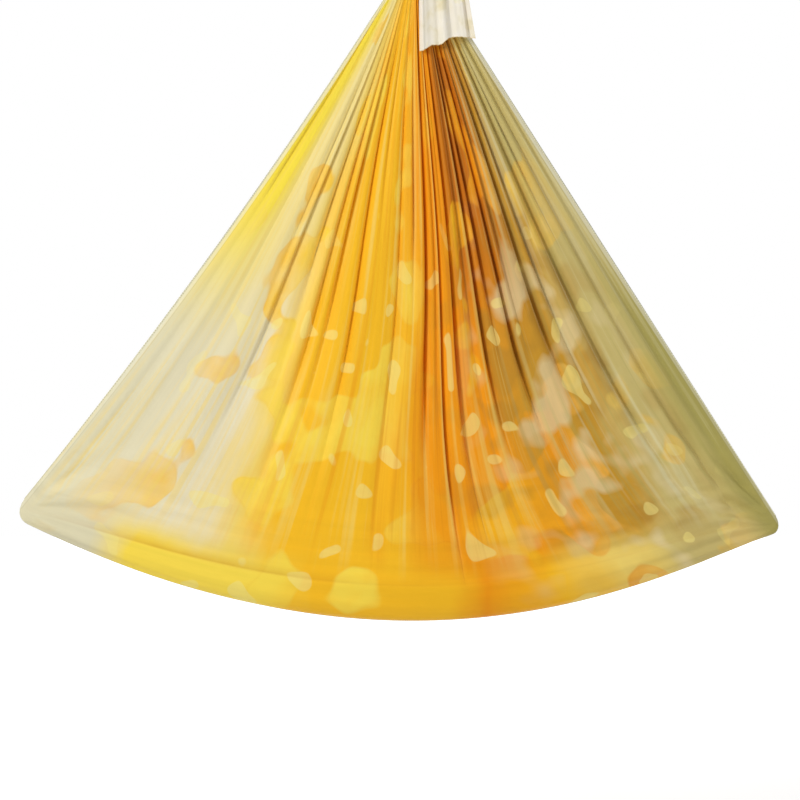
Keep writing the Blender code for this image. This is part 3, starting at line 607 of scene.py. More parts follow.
eight_foot, eight_top = (corner.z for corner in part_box("figure_eight"))
small_ring_z = eight_top - EIGHT_BAR_RADIUS - EIGHT_SMALL_BEND
large_ring_z = eight_foot + EIGHT_BAR_RADIUS + EIGHT_LARGE_BEND
waist_z = (small_ring_z - EIGHT_SMALL_BEND + large_ring_z + EIGHT_LARGE_BEND) / 2
polar = np.linspace(0, np.pi, 33)[:, None]
waist_turn, _ = round_section(64)
waist = points_of(
    WAIST_HALF_WIDTH * np.sin(polar) ** 0.7 * np.cos(waist_turn),
    WAIST_HALF_DEPTH * np.sin(polar) ** 0.6 * np.sin(waist_turn),
    waist_z + WAIST_HALF_HEIGHT * np.cos(polar),
)
small_ring = ring_grid(small_ring_z, EIGHT_SMALL_BEND, EIGHT_BAR_RADIUS)
large_ring = ring_grid(large_ring_z, EIGHT_LARGE_BEND, EIGHT_BAR_RADIUS, 128)
figure_eight = welded("figure_eight_forging", small_ring, large_ring, waist)
add_piece(figure_eight, "hammock", alloy, "anodised_alloy", "figure_eight")


# The cloth: one sheet of tricot, 2.8 m wide, that falls from the knot as the front leaf, turns through
# the seat and rises to the knot again as the back leaf. Its pleats are free folds of the gathered width.

CLOTH_WIDTH = 2.8
CLOTH_LENGTH = 4.83
APEX_ABOVE_KNOT = 0.036
LEAF_START = 0.023
DROP_MIDDLE = 2.405
DROP_HEM = 2.463
DROP_HEM_LEFT = 2.494
DROP_POWER_LEFT = 2.4
HEM_LEFT_TOP = 32.0
HEM_LEFT_LOW = 35.5
HEM_RIGHT = 32.5
CORNER_RADIUS = 0.056
CORNER_RADIUS_LEFT = 0.080
SEAT_DEPTH = (0.090, 0.005)
SEAT_HEIGHT = 0.129
SEAT_HEIGHT_HEM = 0.012
GATHER_DEPTH = (0.012, 0.0025)
LEAF_BULGE = 0.012
FRONT_ROWS = 96
SEAT_ROWS = 38
BACK_ROWS = 84
ROW_POWER = 1.35
CLOSE_ROWS = 22
CLOSE_SHARE = 0.92
FACE_COLUMNS = 10
MAIN_CREASES = (-0.80, -0.63, -0.45, -0.29, -0.10, 0.05, 0.12, 0.19, 0.33, 0.46, 0.60, 0.76, 0.88)
FACE_WIDTH = 0.066
FACE_WIDTH_LEFT = 0.088
WIDE_FACE = -0.11
WIDE_FACE_REACH = 0.13
WIDE_FACE_CALM = 0.72
CREASE_DEPTH = 0.062
CREASE_SLOT = 0.0042
SHOULDER_DEPTH = 0.028
SHOULDER_STEEPNESS = 0.34
SWELLS = ((8, 0.0085), (15, 0.0062), (27, 0.0046), (52, 0.0022), (97, 0.0012))
BACK_SHARPER = 0.34
PLEAT_LEAN = 0.42
PLEAT_ROOM = 0.92
PLEAT_START = 0.20
SEAT_STEP = 0.0100
CORNER_FOLDS = ((-1, 4.4, 0.6), (1, 5.6, 2.1))
CORNER_FOLD_DEPTH = 0.0120
CORNER_FOLD_REACH = 0.5
FLARE = 0.10
SWEEP_START = 1.70
SWEEP_RIGHT = 0.42
WOBBLE = 0.012
FRONT_HEM_INSET = 0.003
PLAN_SEED = 11
FRONT_SEED = 3
BACK_SEED = 8

knot_foot, knot_top = (corner.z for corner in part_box("knot_wrap"))
apex_z = knot_foot + APEX_ABOVE_KNOT


def hem_angle(side, drop):
    """Hem angle from straight down, radians: constant on the right, flaring with the drop on the left."""
    left = HEM_LEFT_TOP + (HEM_LEFT_LOW - HEM_LEFT_TOP) * drop / DROP_HEM
    return np.radians(np.where(side < 0, left, HEM_RIGHT))


def lens_value(share, middle, hem):
    """Half ellipse across the width: middle at share 0, hem at share -1 and 1."""
    return hem + (middle - hem) * np.sqrt(np.clip(1 - share**2, 0, 1))


def near_value(share, middle, hem):
    """A lens that closes up sooner: the half ellipse's height to the power 1.7."""
    return hem + (middle - hem) * np.clip(1 - share**2, 0, 1) ** 0.85


def lowest_drop(share):
    """Drop of the underside: it grows as the cube of the share to the right hem and as a lower power to
    the left, where the sheet hangs out a little more, less a quarter circle at each corner."""
    left = (DROP_HEM_LEFT - DROP_MIDDLE) * np.abs(share) ** DROP_POWER_LEFT
    right = (DROP_HEM - DROP_MIDDLE) * np.abs(share) ** 3
    drop = DROP_MIDDLE + np.where(share < 0, left, right)
    radius = np.where(share < 0, CORNER_RADIUS_LEFT, CORNER_RADIUS)
    inset = np.clip(drop * hem_angle(share, drop) * (1 - np.abs(share)), 0, radius)
    return drop - radius + np.sqrt(radius**2 - (radius - inset) ** 2)


def leaf_depth(share, down):
    """Distance of a leaf from the middle plane: from the gather to the seat in a line, plus half a sine."""
    gather = near_value(share, *GATHER_DEPTH)
    seat = near_value(share, *SEAT_DEPTH)
    return gather * (1 - down) + seat * down + near_value(share, LEAF_BULGE, 0.0) * np.sin(np.pi * down)


def ease(low, high, value):
    """0 below low, 1 above high, and a smooth cubic step between."""
    t = np.clip((value - low) / (high - low), 0, 1)
    return t * t * (3 - 2 * t)


def pleat_plan():
    """Where the creases lie across the cloth, and each one's depth, the drop at which it has faded and
    how sharp it is.

    The main creases are given. Between two of them the cloth is split into faces of uneven width, whose
    creases are softer and fade sooner. The left side is calmer than the right, and the creases near the
    middle of the wide face are nearly flat, by 1 - calm * exp(-(distance / reach) ** 4).
    """
    draw = np.random.default_rng(PLAN_SEED)
    edges = np.array([-1.0, *MAIN_CREASES, 1.0])
    rows = [(-1.0, 0.0, 1.2, 0.0)]
    for low, high in zip(edges[:-1], edges[1:]):
        left = high < 0
        count = max(2, int(round((high - low) / (FACE_WIDTH_LEFT if left else FACE_WIDTH))))
        widths = np.exp(draw.normal(0.0, 0.5, count))
        inner = low + (high - low) * np.cumsum(widths)[:-1] / widths.sum()
        sharpest = 0.62 * (0.3 if left else 1.0)
        for place in inner:
            body, fade = draw.uniform(0.35, 0.9), draw.uniform(1.0, 2.2)
            rows.append((place, body, fade, sharpest * draw.random() ** 2))
        strong = np.interp(high, (-0.8, -0.4, -0.1, 0.1), (0.03, 0.08, 0.42, 0.66))
        spare = 0.05 if high < -0.35 else 0.30
        body = np.interp(high, (-0.7, -0.3), (0.35, 1.0)) * (0.75 + 0.25 * draw.random())
        rows.append((high, body, draw.uniform(1.9, 2.45), strong + spare * draw.random()))
    places, depths, fades, sharps = np.array(rows).T
    depths[-1] = 0.0
    drawn_flat = 1 - WIDE_FACE_CALM * np.exp(-(((places - WIDE_FACE) / WIDE_FACE_REACH) ** 4))
    return places, depths * drawn_flat, fades, sharps * drawn_flat


def pleat_columns(places):
    """Columns bunched at the creases: a cosine spacing inside every face. Returns shares, faces and how
    far inside its face each column lies."""
    steps = 0.5 - 0.5 * np.cos(np.pi * np.arange(FACE_COLUMNS) / FACE_COLUMNS)
    faces = np.repeat(np.arange(len(places) - 1), FACE_COLUMNS)
    inside = np.tile(steps, len(places) - 1)
    shares = places[faces] + (places[faces + 1] - places[faces]) * inside
    return np.append(shares, 1.0), np.append(faces, len(places) - 2), np.append(inside, 1.0)


def pleat_height(plan, faces, inside, drop, room, seed):
    """How far the pleats stand in front of the leaf's own surface. Creases are negative.

    A crease is a shoulder as wide as its faces, 1 - sin of the distance from it, or (1 + cos) / 2 where it
    has faded, and a deep narrow slot of the same kind in the sharp ones. No crease is deeper than the
    room behind the leaf. Swells and ripples, sines of the share that drift with the drop, run over all.
    """
    places, depths, fades, sharps = plan
    drop = drop[:, None]
    half_span = np.radians((HEM_LEFT_LOW + HEM_RIGHT) / 2)
    width = (places[faces + 1] - places[faces]) * half_span * drop
    rise = 1 - np.exp(-drop / PLEAT_START)
    height = np.zeros_like(width)
    for crease, run in ((faces, inside), (faces + 1, 1 - inside)):
        fade = 1 - ease(0.55, 1.04, drop / fades[crease])
        distance = np.pi * np.clip(run, 0, 0.5)
        hard = 1 - np.sin(distance)
        soft = 0.5 + 0.5 * np.cos(2 * distance)
        keen = np.clip(0.35 + sharps[crease], 0, 1) * fade
        started = np.where(sharps[crease] < 0.4, ease(0.15, 0.85, drop), 1.0)
        shoulder = np.minimum(SHOULDER_DEPTH * depths[crease], SHOULDER_STEEPNESS * width) * fade**0.8
        shoulder = shoulder * (0.45 + 0.55 * started)
        height -= shoulder * (hard * keen + soft * (1 - keen))
        slot_width = np.minimum(0.32 * width, CREASE_SLOT + 0.004 * drop + 0.03 * (1 - fade) * drop)
        slot = 1 - np.sin(0.5 * np.pi * np.clip(run * width / slot_width, 0, 1))
        height -= CREASE_DEPTH * sharps[crease] * fade**1.6 * rise * started * slot
    height = np.maximum(height, -room)
    draw = np.random.default_rng(seed)
    share = places[faces] + (places[faces + 1] - places[faces]) * inside
    middle = np.exp(-((share / 0.6) ** 4))
    for waves, size in SWELLS:
        phase = draw.uniform(0, 2 * np.pi)
        swell = 0.55 + 0.45 * np.sin(draw.uniform(2, 5) * share + 2.1 * drop + phase)
        low_end = 1 - ease((1.4 + 0.5 * middle) if waves < 40 else 0.9, 2.35, drop)
        height += size * swell * np.sin(waves * share + phase + 0.8 * drop) * low_end * rise
    by_hem = np.exp(-(((1 - np.abs(share)) / 0.11) ** 2)) * (1 - ease(1.9, 2.35, drop))
    height += (0.0027 * np.sin(84 * share + 0.8) + 0.0013 * np.sin(190 * share)) * by_hem * rise
    return height * np.minimum(1, room / 0.010)


def seat_ripples(share, level):
    """Drawn lines along the seat: sines of the level round it that swell and run out along the share.

    They are strongest towards the corners, where the hems pull, and one more set runs along the right.
    The leaf sinks in towards the line where it ends, and the seat starts there with a small step forwards.
    """
    pull = 0.4 + 0.6 * np.abs(share) ** 1.5
    to_right = ease(0.10, 0.36, share) * (1 - ease(0.80, 0.97, share))
    lines = 0.0028 * np.sin(9 * level + 3.0 * share + 0.4) * (0.6 + 0.4 * np.sin(7 * share + 1.0))
    lines = lines + 0.0017 * np.sin(19 * level - 5.0 * share) * (0.5 + 0.5 * np.sin(11 * share + 2.0))
    lines = lines + 0.0032 * np.sin(17 * level + 6.5 * share + 1.2) * to_right
    sunk = ease(-1.1, -0.06, level) * (1 - ease(-0.06, 0.04, level))
    near_middle = np.exp(-(((share - 0.08) / 0.30) ** 2))
    by_corner = ease(0.62, 0.92, np.abs(share))
    valley = SEAT_STEP * sunk * (0.72 - 0.62 * near_middle - 0.5 * by_corner + 0.12 * np.sin(9 * share))
    return (lines * pull - valley) * (1 - np.abs(share) ** 12)


def corner_folds(share, drop):
    """Folds that run out from the two lower corners, where hem and seat pull against each other.

    A sine of the angle round the corner, from the hem inwards, that grows over the first 0.1 m and dies
    away with the distance, as exp(-(distance / reach) ** 1.5).
    """
    angle = hem_angle(share, drop) * share
    x, z = drop * np.sin(angle), -drop * np.cos(angle)
    total = np.zeros_like(x)
    for side, waves, phase in CORNER_FOLDS:
        hem = float(hem_angle(side, DROP_HEM))
        corner_x, corner_z = side * math.sin(hem) * (DROP_HEM - 0.02), -math.cos(hem) * (DROP_HEM - 0.02)
        out_x, out_z = x - corner_x, z - corner_z
        reach = np.hypot(out_x, out_z)
        along = -out_x * side * math.sin(hem) + out_z * math.cos(hem)
        inward = -out_x * side * math.cos(hem) - out_z * math.sin(hem)
        around = np.arctan2(inward, along)
        fold = np.sin(2 * waves * around + phase + 1.2 * reach) + 0.5 * np.sin(5 * waves * around - phase)
        fade = np.exp(-((reach / CORNER_FOLD_REACH) ** 1.5)) * ease(0.05, 0.35, around)
        grown = ease(0.02, 0.12, reach) * np.minimum(1, reach / 0.25)
        total += CORNER_FOLD_DEPTH * fold * fade * grown
    return total


def column_angle(share, drop, side):
    """A column's angle from straight down: its share of the hem angle, with a flare and a slow wobble.

    The flare spreads the lower part as 1 - share ** 2. On the right the columns also sweep out to the
    corner, as the square of the drop below SWEEP_START times (1 - share ** 2) ** 2.
    """
    flare = 1 + FLARE * (1 - share**2) * ease(1.4, 2.35, drop)
    swept = np.clip((drop - SWEEP_START) / (DROP_HEM - SWEEP_START), 0, 1) ** 2
    flare = flare + SWEEP_RIGHT * swept * (1 - share**2) ** 2 * ease(-0.1, 0.4, share)
    wobble = WOBBLE * (1 - share**2) * np.sin(2.6 * drop + 4.0 * share + side)
    return hem_angle(share, drop) * share * flare + wobble * np.sin(np.pi * np.clip(drop / DROP_MIDDLE, 0, 1))


def leaf_points(side, down, plan, columns, seed):
    """y, drop and pleat height over a leaf, the front one at side -1 and the back one at side 1."""
    share, faces, inside = columns
    drop_end = lowest_drop(share) - lens_value(share, SEAT_HEIGHT, SEAT_HEIGHT_HEM)
    top = LEAF_START / np.cos(hem_angle(share, 0.0) * share)
    drop = top + (drop_end - top) * down
    depth = leaf_depth(share, down)
    middle = APEX_ABOVE_KNOT + (DROP_MIDDLE - SEAT_HEIGHT - APEX_ABOVE_KNOT) * down[:, 0]
    height = pleat_height(plan, faces, inside, middle, PLEAT_ROOM * depth, seed)
    height = height * (1 - np.abs(share) ** 24)
    level = -(drop_end - drop) / SEAT_HEIGHT
    height = height + seat_ripples(share, level) * ease(0.84, 0.96, down)
    height = height + np.maximum(corner_folds(share, drop), -0.8 * depth)
    return side * (depth + height), drop, height


def seat_points(down, share):
    """y and drop over the seat, and no pleat height: half an ellipse from leaf to leaf, and its folds.

    The ripples go into both, the corner folds only into y, so the underside stays smooth.
    """
    turn = np.pi * down
    level = np.where(down < 0.5, 2 * down, 2 * (1 - down))
    drop = lowest_drop(share) - lens_value(share, SEAT_HEIGHT, SEAT_HEIGHT_HEM) * (1 - np.sin(turn))
    half_depth = near_value(share, *SEAT_DEPTH)
    room = 0.5 * half_depth
    ripples = seat_ripples(share, level)
    puff = np.maximum(ripples + corner_folds(share, drop), -room)
    drop = drop + np.clip(ripples * np.sin(turn), -room, 0.002)
    return -(half_depth + puff) * np.cos(turn), drop, np.zeros_like(drop)


def cloth_points():
    """The whole sheet on one grid. Every row runs from the left hem to the right, rows follow the cloth.

    A point lies at its drop below the apex, turned by its column's angle, and at its depth to the front or
    back. Pleats push it back towards the middle plane and sideways by their lean.
    """
    plan = pleat_plan()
    back_plan = (*plan[:3], np.minimum(plan[3] + BACK_SHARPER, 1) * (plan[1] > 0))
    columns = pleat_columns(plan[0])
    share = columns[0]
    close = np.linspace(CLOSE_SHARE, 1, CLOSE_ROWS)
    front = np.append(CLOSE_SHARE * np.linspace(0, 1, FRONT_ROWS)[:-1] ** ROW_POWER, close)[:, None]
    seat = np.linspace(0, 1, SEAT_ROWS + 2)[1:-1, None]
    back = np.append(close[::-1], CLOSE_SHARE * np.linspace(1, 0, BACK_ROWS)[1:] ** ROW_POWER)[:, None]
    stretches = (
        (-1, front, leaf_points(-1, front, plan, columns, FRONT_SEED)),
        (0, seat, seat_points(seat, share)),
        (1, back, leaf_points(1, back, back_plan, columns, BACK_SEED)),
    )
    sheets = []
    for side, down, (y, drop, height) in stretches:
        angle = column_angle(share, drop, side)
        if side < 0:
            inset = FRONT_HEM_INSET * np.sin(np.pi * down**0.9)
            angle = angle * (1 - inset / (drop * hem_angle(share, drop) + 0.05))
        lean = PLEAT_LEAN * height * (1 if side < 0 else -1)
        x = drop * np.sin(angle) + lean * np.cos(angle)
        z = apex_z - drop * np.cos(angle) + lean * np.sin(angle)
        sheets.append(points_of(x, y, z))
    return np.concatenate(sheets), share


def cloth_map(points, share):
    """The flat cloth's own map: width across, and length as the mean distance between the rows."""
    steps = np.linalg.norm(np.diff(points, axis=0), axis=-1).mean(axis=1)
    along = np.concatenate([[0], np.cumsum(steps)]) / steps.sum()
    return np.stack(np.meshgrid((share + 1) / 2, along), axis=-1)


HEM_SPREAD = 2.67
HEM_SPREAD_TOP = 0.046
BORDER_WIDTH = 0.014


def dye(red, green, blue):
    """A colour as seen, 0 to 255, in the linear numbers that a shader takes."""
    seen = np.array([red, green, blue]) / 255
    linear = np.where(seen <= 0.04045, seen / 12.92, ((seen + 0.055) / 1.055) ** 2.4)
    return (*linear, 1.0)


DYES = {
    "mist": dye(241, 240, 221),
    "lemon": dye(248, 222, 66),
    "primrose": dye(239, 219, 146),
    "cream": dye(233, 222, 187),
    "oat": dye(221, 213, 177),
    "reed": dye(221, 214, 170),
    "straw": dye(243, 212, 108),
    "butter": dye(251, 220, 78),
    "gold": dye(249, 190, 32),
    "amber": dye(242, 153, 9),
    "rust": dye(199, 112, 12),
    "ochre": dye(200, 148, 42),
    "khaki": dye(203, 184, 114),
    "olive": dye(172, 161, 88),
}
# Each wash runs from dye to dye across the width, 0 to 1. A dye with two places holds between them.
# The rust band right of the middle in the upper wash is partly the dye's deep orange and partly painted
# shade: it darkens the side away from the key lamp and its deep creases.
UPPER_WASH = (
    ("lemon", 0.0, 0.07), ("primrose", 0.115, 0.175), ("straw", 0.215), ("gold", 0.29, 0.43),
    ("amber", 0.52, 0.585), ("rust", 0.63, 0.73), ("ochre", 0.825), ("khaki", 0.895, 1.0),
)
LOWER_WASH = (
    ("oat", 0.0), ("cream", 0.205), ("straw", 0.26), ("gold", 0.31, 0.45), ("amber", 0.54, 0.66),
    ("ochre", 0.73, 0.80), ("khaki", 0.865, 0.93), ("olive", 0.975),
)
SEAT_WASH = (
    ("oat", 0.0, 0.1), ("butter", 0.185, 0.29), ("gold", 0.38, 0.51), ("amber", 0.585), ("gold", 0.66),
    ("straw", 0.75), ("khaki", 0.86, 0.93), ("olive", 0.985),
)
PALE_STREAKS = (("straw", 0.0, 0.62), ("khaki", 0.74), ("reed", 0.86, 1.0))
DEEP_STREAKS = (("straw", 0.0, 0.22), ("amber", 0.34), ("rust", 0.58), ("olive", 0.74, 1.0))
PATCHES = (
    ("straw", 0.0), ("gold", 0.13), ("butter", 0.30, 0.44), ("amber", 0.52), ("gold", 0.62),
    ("amber", 0.74), ("straw", 0.82), ("gold", 0.91), ("straw", 1.0),
)


def dye_ramp(tree, value, wash):
    """A ramp through the dyes of a wash."""
    return ramp_node(tree, value, [(place, DYES[name]) for name, *places in wash for place in places])


def product(tree, first, *others):
    """Two or more values multiplied."""
    for other in others:
        first = math_node(tree, "MULTIPLY", first, other)
    return first


def laid(tree, colour, over, *masks, blend="MIX"):
    """A colour with another laid over it, by the product of the masks."""
    return mix_colour(tree, product(tree, *masks), colour, over, blend)


def flat_place(tree):
    """The place on the piece's own flat map."""
    return add_node(tree, "UVMap", uv_map="OFBake").outputs["UV"]


def cloth_places(tree):
    """Where a point lies on the flat cloth, and the soft noises that its dyes share.

    width is 0 to 1 from the left hem, nearness 0 at the knot and 1 in the middle of the seat, and metres a
    place in metres. inland falls to 0 by the hems, shift wanders to both sides, and band is 1 in the seat.
    """
    flat = flat_place(tree)
    split = add_node(tree, "SeparateXYZ", {0: flat}).outputs
    at = SimpleNamespace(width=split[0])
    at.nearness = product(tree, math_node(tree, "PINGPONG", split[1], 0.5), 2.0)
    at.metres = scaled(tree, flat, (CLOTH_WIDTH, CLOTH_LENGTH, 0.0))
    at.from_middle = math_node(tree, "ABSOLUTE", math_node(tree, "SUBTRACT", at.width, 0.5))
    at.inland = remap(tree, at.from_middle, 0.475, 0.33)
    wander = noise(tree, scaled(tree, at.metres, (2.2, 0.8, 1.0)), 1.3, 5.0)
    at.shift = product(tree, math_node(tree, "SUBTRACT", wander, 0.5), 0.24, at.inland)
    at.washed = math_node(tree, "ADD", at.width, at.shift)
    by_seat = math_node(tree, "ADD", at.nearness, product(tree, at.shift, 0.25))
    at.band = remap(tree, by_seat, 0.895, 0.945, curve="SMOOTHSTEP")
    at.low_down = remap(tree, at.nearness, 0.36, 0.52)
    at.uptake = noise(tree, at.metres, 5.5, 3.0)
    return at


def washes(tree, at):
    """Three dips laid across the width: one from the knot down, one below it and one along the seat."""
    fallen = math_node(tree, "ADD", at.nearness, at.shift)
    lower = remap(tree, fallen, 0.38, 0.66, curve="SMOOTHSTEP")
    upper_dip, lower_dip, seat_dip = (
        dye_ramp(tree, at.washed, stops) for stops in (UPPER_WASH, LOWER_WASH, SEAT_WASH)
    )
    return mix_colour(tree, at.band, mix_colour(tree, lower, upper_dip, lower_dip), seat_dip)


def patches(tree, at, colour):
    """Soft-edged patches, where the cloth took up more or less dye, with a faint tide line round each."""
    clouds = noise(tree, at.metres, 2.7, 2.0)
    patch = remap(tree, clouds, 0.545, 0.568, curve="SMOOTHSTEP")
    depth = remap(tree, at.uptake, 0.35, 0.65, 0.35, 0.9)
    colour = laid(tree, colour, dye_ramp(tree, at.washed, PATCHES), patch, depth, at.inland)
    off_edge = math_node(tree, "ABSOLUTE", math_node(tree, "SUBTRACT", clouds, 0.563))
    tide = remap(tree, off_edge, 0.0, 0.010, 0.06, 0.0)
    return laid(tree, colour, dye(214, 140, 30), tide, at.inland, blend="MULTIPLY")


def veils_and_drops(tree, at, colour):
    """Pale veils at the far right, dusky ones on the right above the seat, and pale drops lower down."""
    haze = noise(tree, at.metres, 4.4, 2.0)
    veil = remap(tree, haze, 0.52, 0.60, 0.0, 0.62)
    far_right = remap(tree, at.width, 0.58, 0.72)
    colour = laid(tree, colour, dye(228, 210, 160), veil, at.low_down, far_right, at.inland)
    dusk = remap(tree, haze, 0.47, 0.39, 0.0, 0.55)
    on_right = remap(tree, at.width, 0.50, 0.66)
    off_band = math_node(tree, "SUBTRACT", 1.0, product(tree, at.band, 0.8))
    colour = laid(tree, colour, dye(176, 128, 40), dusk, at.low_down, on_right, off_band, at.inland)
    drops = remap(tree, noise(tree, at.metres, 9.0, 0.0), 0.690, 0.712, 0.0, 0.5)
    return laid(tree, colour, dye(246, 230, 138), drops, at.low_down, at.inland)


def drawn_streaks(tree, at, colour):
    """Fine streaks that run down the cloth, paler and deeper than the dye, and end above the seat."""
    thread = noise(tree, scaled(tree, at.metres, (26.0, 0.7, 1.0)), 1.0, 3.0)
    off_seat = remap(tree, at.nearness, 0.94, 0.86)
    for low, high, strength, wash in ((0.53, 0.66, 0.5, PALE_STREAKS), (0.46, 0.33, 0.42, DEEP_STREAKS)):
        streak = remap(tree, thread, low, high, 0.0, strength)
        colour = laid(tree, colour, dye_ramp(tree, at.width, wash), streak, off_seat)
    return colour


def hem_border(tree, at, colour):
    """The turned-in edge: a paler border of even width, which is painted light standing for light shining
    through the thin edge, with a darker seam along its inner side.

    The distance from the hem is the share of the width times the leaf's own half width at that nearness.
    """
    to_hem = math_node(tree, "SUBTRACT", 0.5, at.from_middle)
    leaf_width = math_node(tree, "MULTIPLY_ADD", at.nearness, HEM_SPREAD, HEM_SPREAD_TOP)
    inside = math_node(tree, "SUBTRACT", BORDER_WIDTH, product(tree, to_hem, leaf_width))
    painted_glow = remap(tree, at.nearness, 0.35, 0.80, 0.55, 0.22)
    # painted light: the pale mist border stands for light shining through the thin cloth at the hem,
    # strongest near the knot
    colour = laid(tree, colour, DYES["mist"], remap(tree, inside, 0.0, 0.004), painted_glow)
    seam = remap(tree, math_node(tree, "ABSOLUTE", inside), 0.0, 0.0016, 0.22, 0.0)
    return laid(tree, colour, dye(150, 140, 96), seam, blend="MULTIPLY")


def knit_lie(tree, at):
    """Noise drawn out along the pull: down the leaves, and from corner to corner in the seat."""
    down = noise(tree, scaled(tree, at.metres, (15.0, 1.0, 1.0)), 1.0, 4.0)
    along = noise(tree, scaled(tree, at.metres, (1.0, 16.0, 1.0)), 1.0, 4.0)
    seatward = remap(tree, at.nearness, 0.78, 0.92)
    return add_node(tree, "Mix", {0: seatward, 2: down, 3: along}).outputs[0]


def seat_shade(tree, at, colour, seat_line):
    """Painted shade: a soft dark line over the line where a leaf ends, firmest on the left, and a darker
    underside along the bottom of the seat.
    """
    below = math_node(tree, "SUBTRACT", at.nearness, seat_line)
    above_line = remap(tree, below, -0.030, -0.001)
    under_line = remap(tree, below, 0.002, -0.001)
    firm = remap(tree, at.width, 0.28, 0.44, 0.85, 0.25)
    off_corner = remap(tree, at.from_middle, 0.46, 0.34, 0.15, 1.0)
    masks = (math_node(tree, "POWER", above_line, 3.0), under_line, at.uptake, firm, off_corner)
    # painted shade in the crease where the leaf turns into the seat
    colour = laid(tree, colour, dye(206, 168, 104), *masks, blend="MULTIPLY")
    # painted shade along the seat's underside, where the cloth turns away
    return laid(tree, colour, dye(150, 138, 78), remap(tree, at.nearness, 0.9945, 0.9975, 0.0, 0.5))


def wave_node(tree, place, direction, scale, distortion, detail):
    """Even stripes across a direction."""
    values = {"Vector": place, "Scale": scale, "Distortion": distortion, "Detail": detail}
    return add_node(tree, "TexWave", values, bands_direction=direction).outputs["Fac"]


def tricot_relief(tree, metres, strength):
    """Fine knit relief: wales three and courses four millimetres apart, over a soft crinkle."""
    wales = wave_node(tree, metres, "X", 105.0, 0.6, 1.0)
    courses = wave_node(tree, metres, "Y", 80.0, 0.8, 1.0)
    knit = math_node(tree, "MULTIPLY_ADD", courses, 0.5, wales)
    fine = bump(tree, knit, strength, 0.0004)
    return bump(tree, noise(tree, metres, 38.0, 4.0), 0.25, 0.003, Normal=fine)


def tricot_look(tree, shader, colour, roughness, normal):
    """The look of satin-faced nylon tricot: soft, with a faint sheen and little gloss."""
    look = {
        "Base Color": colour,
        "Roughness": roughness,
        "Normal": normal,
        "Sheen Weight": 0.05,
        "Sheen Roughness": 0.45,
        "Specular IOR Level": 0.14,
    }
    wire(tree, shader, look)


def dyed_tricot(seat_line):
    """Dip-dyed tricot: washes laid across the width, soft-edged resist patches, drops and streaks, with
    painted light and shade over them: a pale hem border, streaks of sheen and shade, a crease line, a darker
    underside, and in part the rust band of the upper wash.

    seat_line is the nearness to the seat at which the leaf ends, where a soft crease line of painted shade is
    laid.
    """
    made, tree, shader = new_material("dyed_tricot")
    at = cloth_places(tree)
    colour = washes(tree, at)
    for layer in (patches, veils_and_drops, drawn_streaks, hem_border):
        colour = layer(tree, at, colour)
    lie = knit_lie(tree, at)
    # painted sheen and shade: streaks along the pull lighten and darken the colour, as the satin face catches
    # the light
    colour = laid(tree, colour, remap(tree, lie, 0.3, 0.7, 0.92, 1.05), 1.0, blend="MULTIPLY")
    colour = seat_shade(tree, at, colour, seat_line)
    roughness = remap(tree, lie, 0.0, 1.0, 0.44, 0.60)
    tricot_look(tree, shader, colour, roughness, tricot_relief(tree, at.metres, 0.35))
    return made


sheet_points, sheet_share = cloth_points()
sheet_map = cloth_map(sheet_points, sheet_share)
leaf_rows = FRONT_ROWS - 1 + CLOSE_ROWS
leaf_end = float(sheet_map[leaf_rows - 1, 0, 1])
hammock_cloth = surface("hammock_cloth", sheet_points, sheet_map)
add_piece(
    hammock_cloth, "hammock", dyed_tricot(2 * leaf_end), "front_cloth", "front_leaf", "back_leaf", "seat_fold"
)


# The loose ends: below the knot each end of the cloth hangs free over its leaf, softly pleated, with a
# plain cut foot. The front one shows in cream at the top of the picture, the other lies behind.

TAIL_COLUMNS = 120
TAIL_ROWS = 70
TAIL_CLEARANCE = 0.020
TAIL_SPREAD_END = 0.40
TAIL_SPREAD_SHARE = 0.74
TAIL_PLEATS = ((3.2, 0.0062), (5.3, 0.0030), (9.1, 0.0012))
TAIL_LEAN = 0.25
TAIL_CURL = 0.006
TAIL_FRAY = 0.0012
TAIL_TUCK = 0.001
TAIL_MAP = (0.28, 0.33, 0.0)
FRONT_TAIL = {
    "name": "loose_end_front",
    "replaced": "tail_front",
    "side": -1,
    "left": (0.004, 0.018),
    "right": (0.026, 0.215),
    "foot": (
        (0.0, 0.332), (0.055, 0.331), (0.20, 0.312), (0.39, 0.309), (0.50, 0.288), (0.64, 0.281),
        (1.0, 0.287),
    ),
    "flat": (0.25, 0.332),
    "seed": 5,
}
BACK_TAIL = {
    "name": "loose_end_back",
    "replaced": "tail_back",
    "side": 1,
    "left": (-0.026, -0.100),
    "right": (-0.004, 0.030),
    "foot": ((0.0, 0.270), (0.22, 0.262), (0.48, 0.259), (0.60, 0.246), (1.0, 0.250)),
    "flat": (0.17, 0.270),
    "seed": 9,
}


def tail_foot(tail):
    """How far each column of a loose end falls, from its few foot points."""
    return np.interp(np.linspace(0, 1, TAIL_COLUMNS), *np.array(tail["foot"]).T)


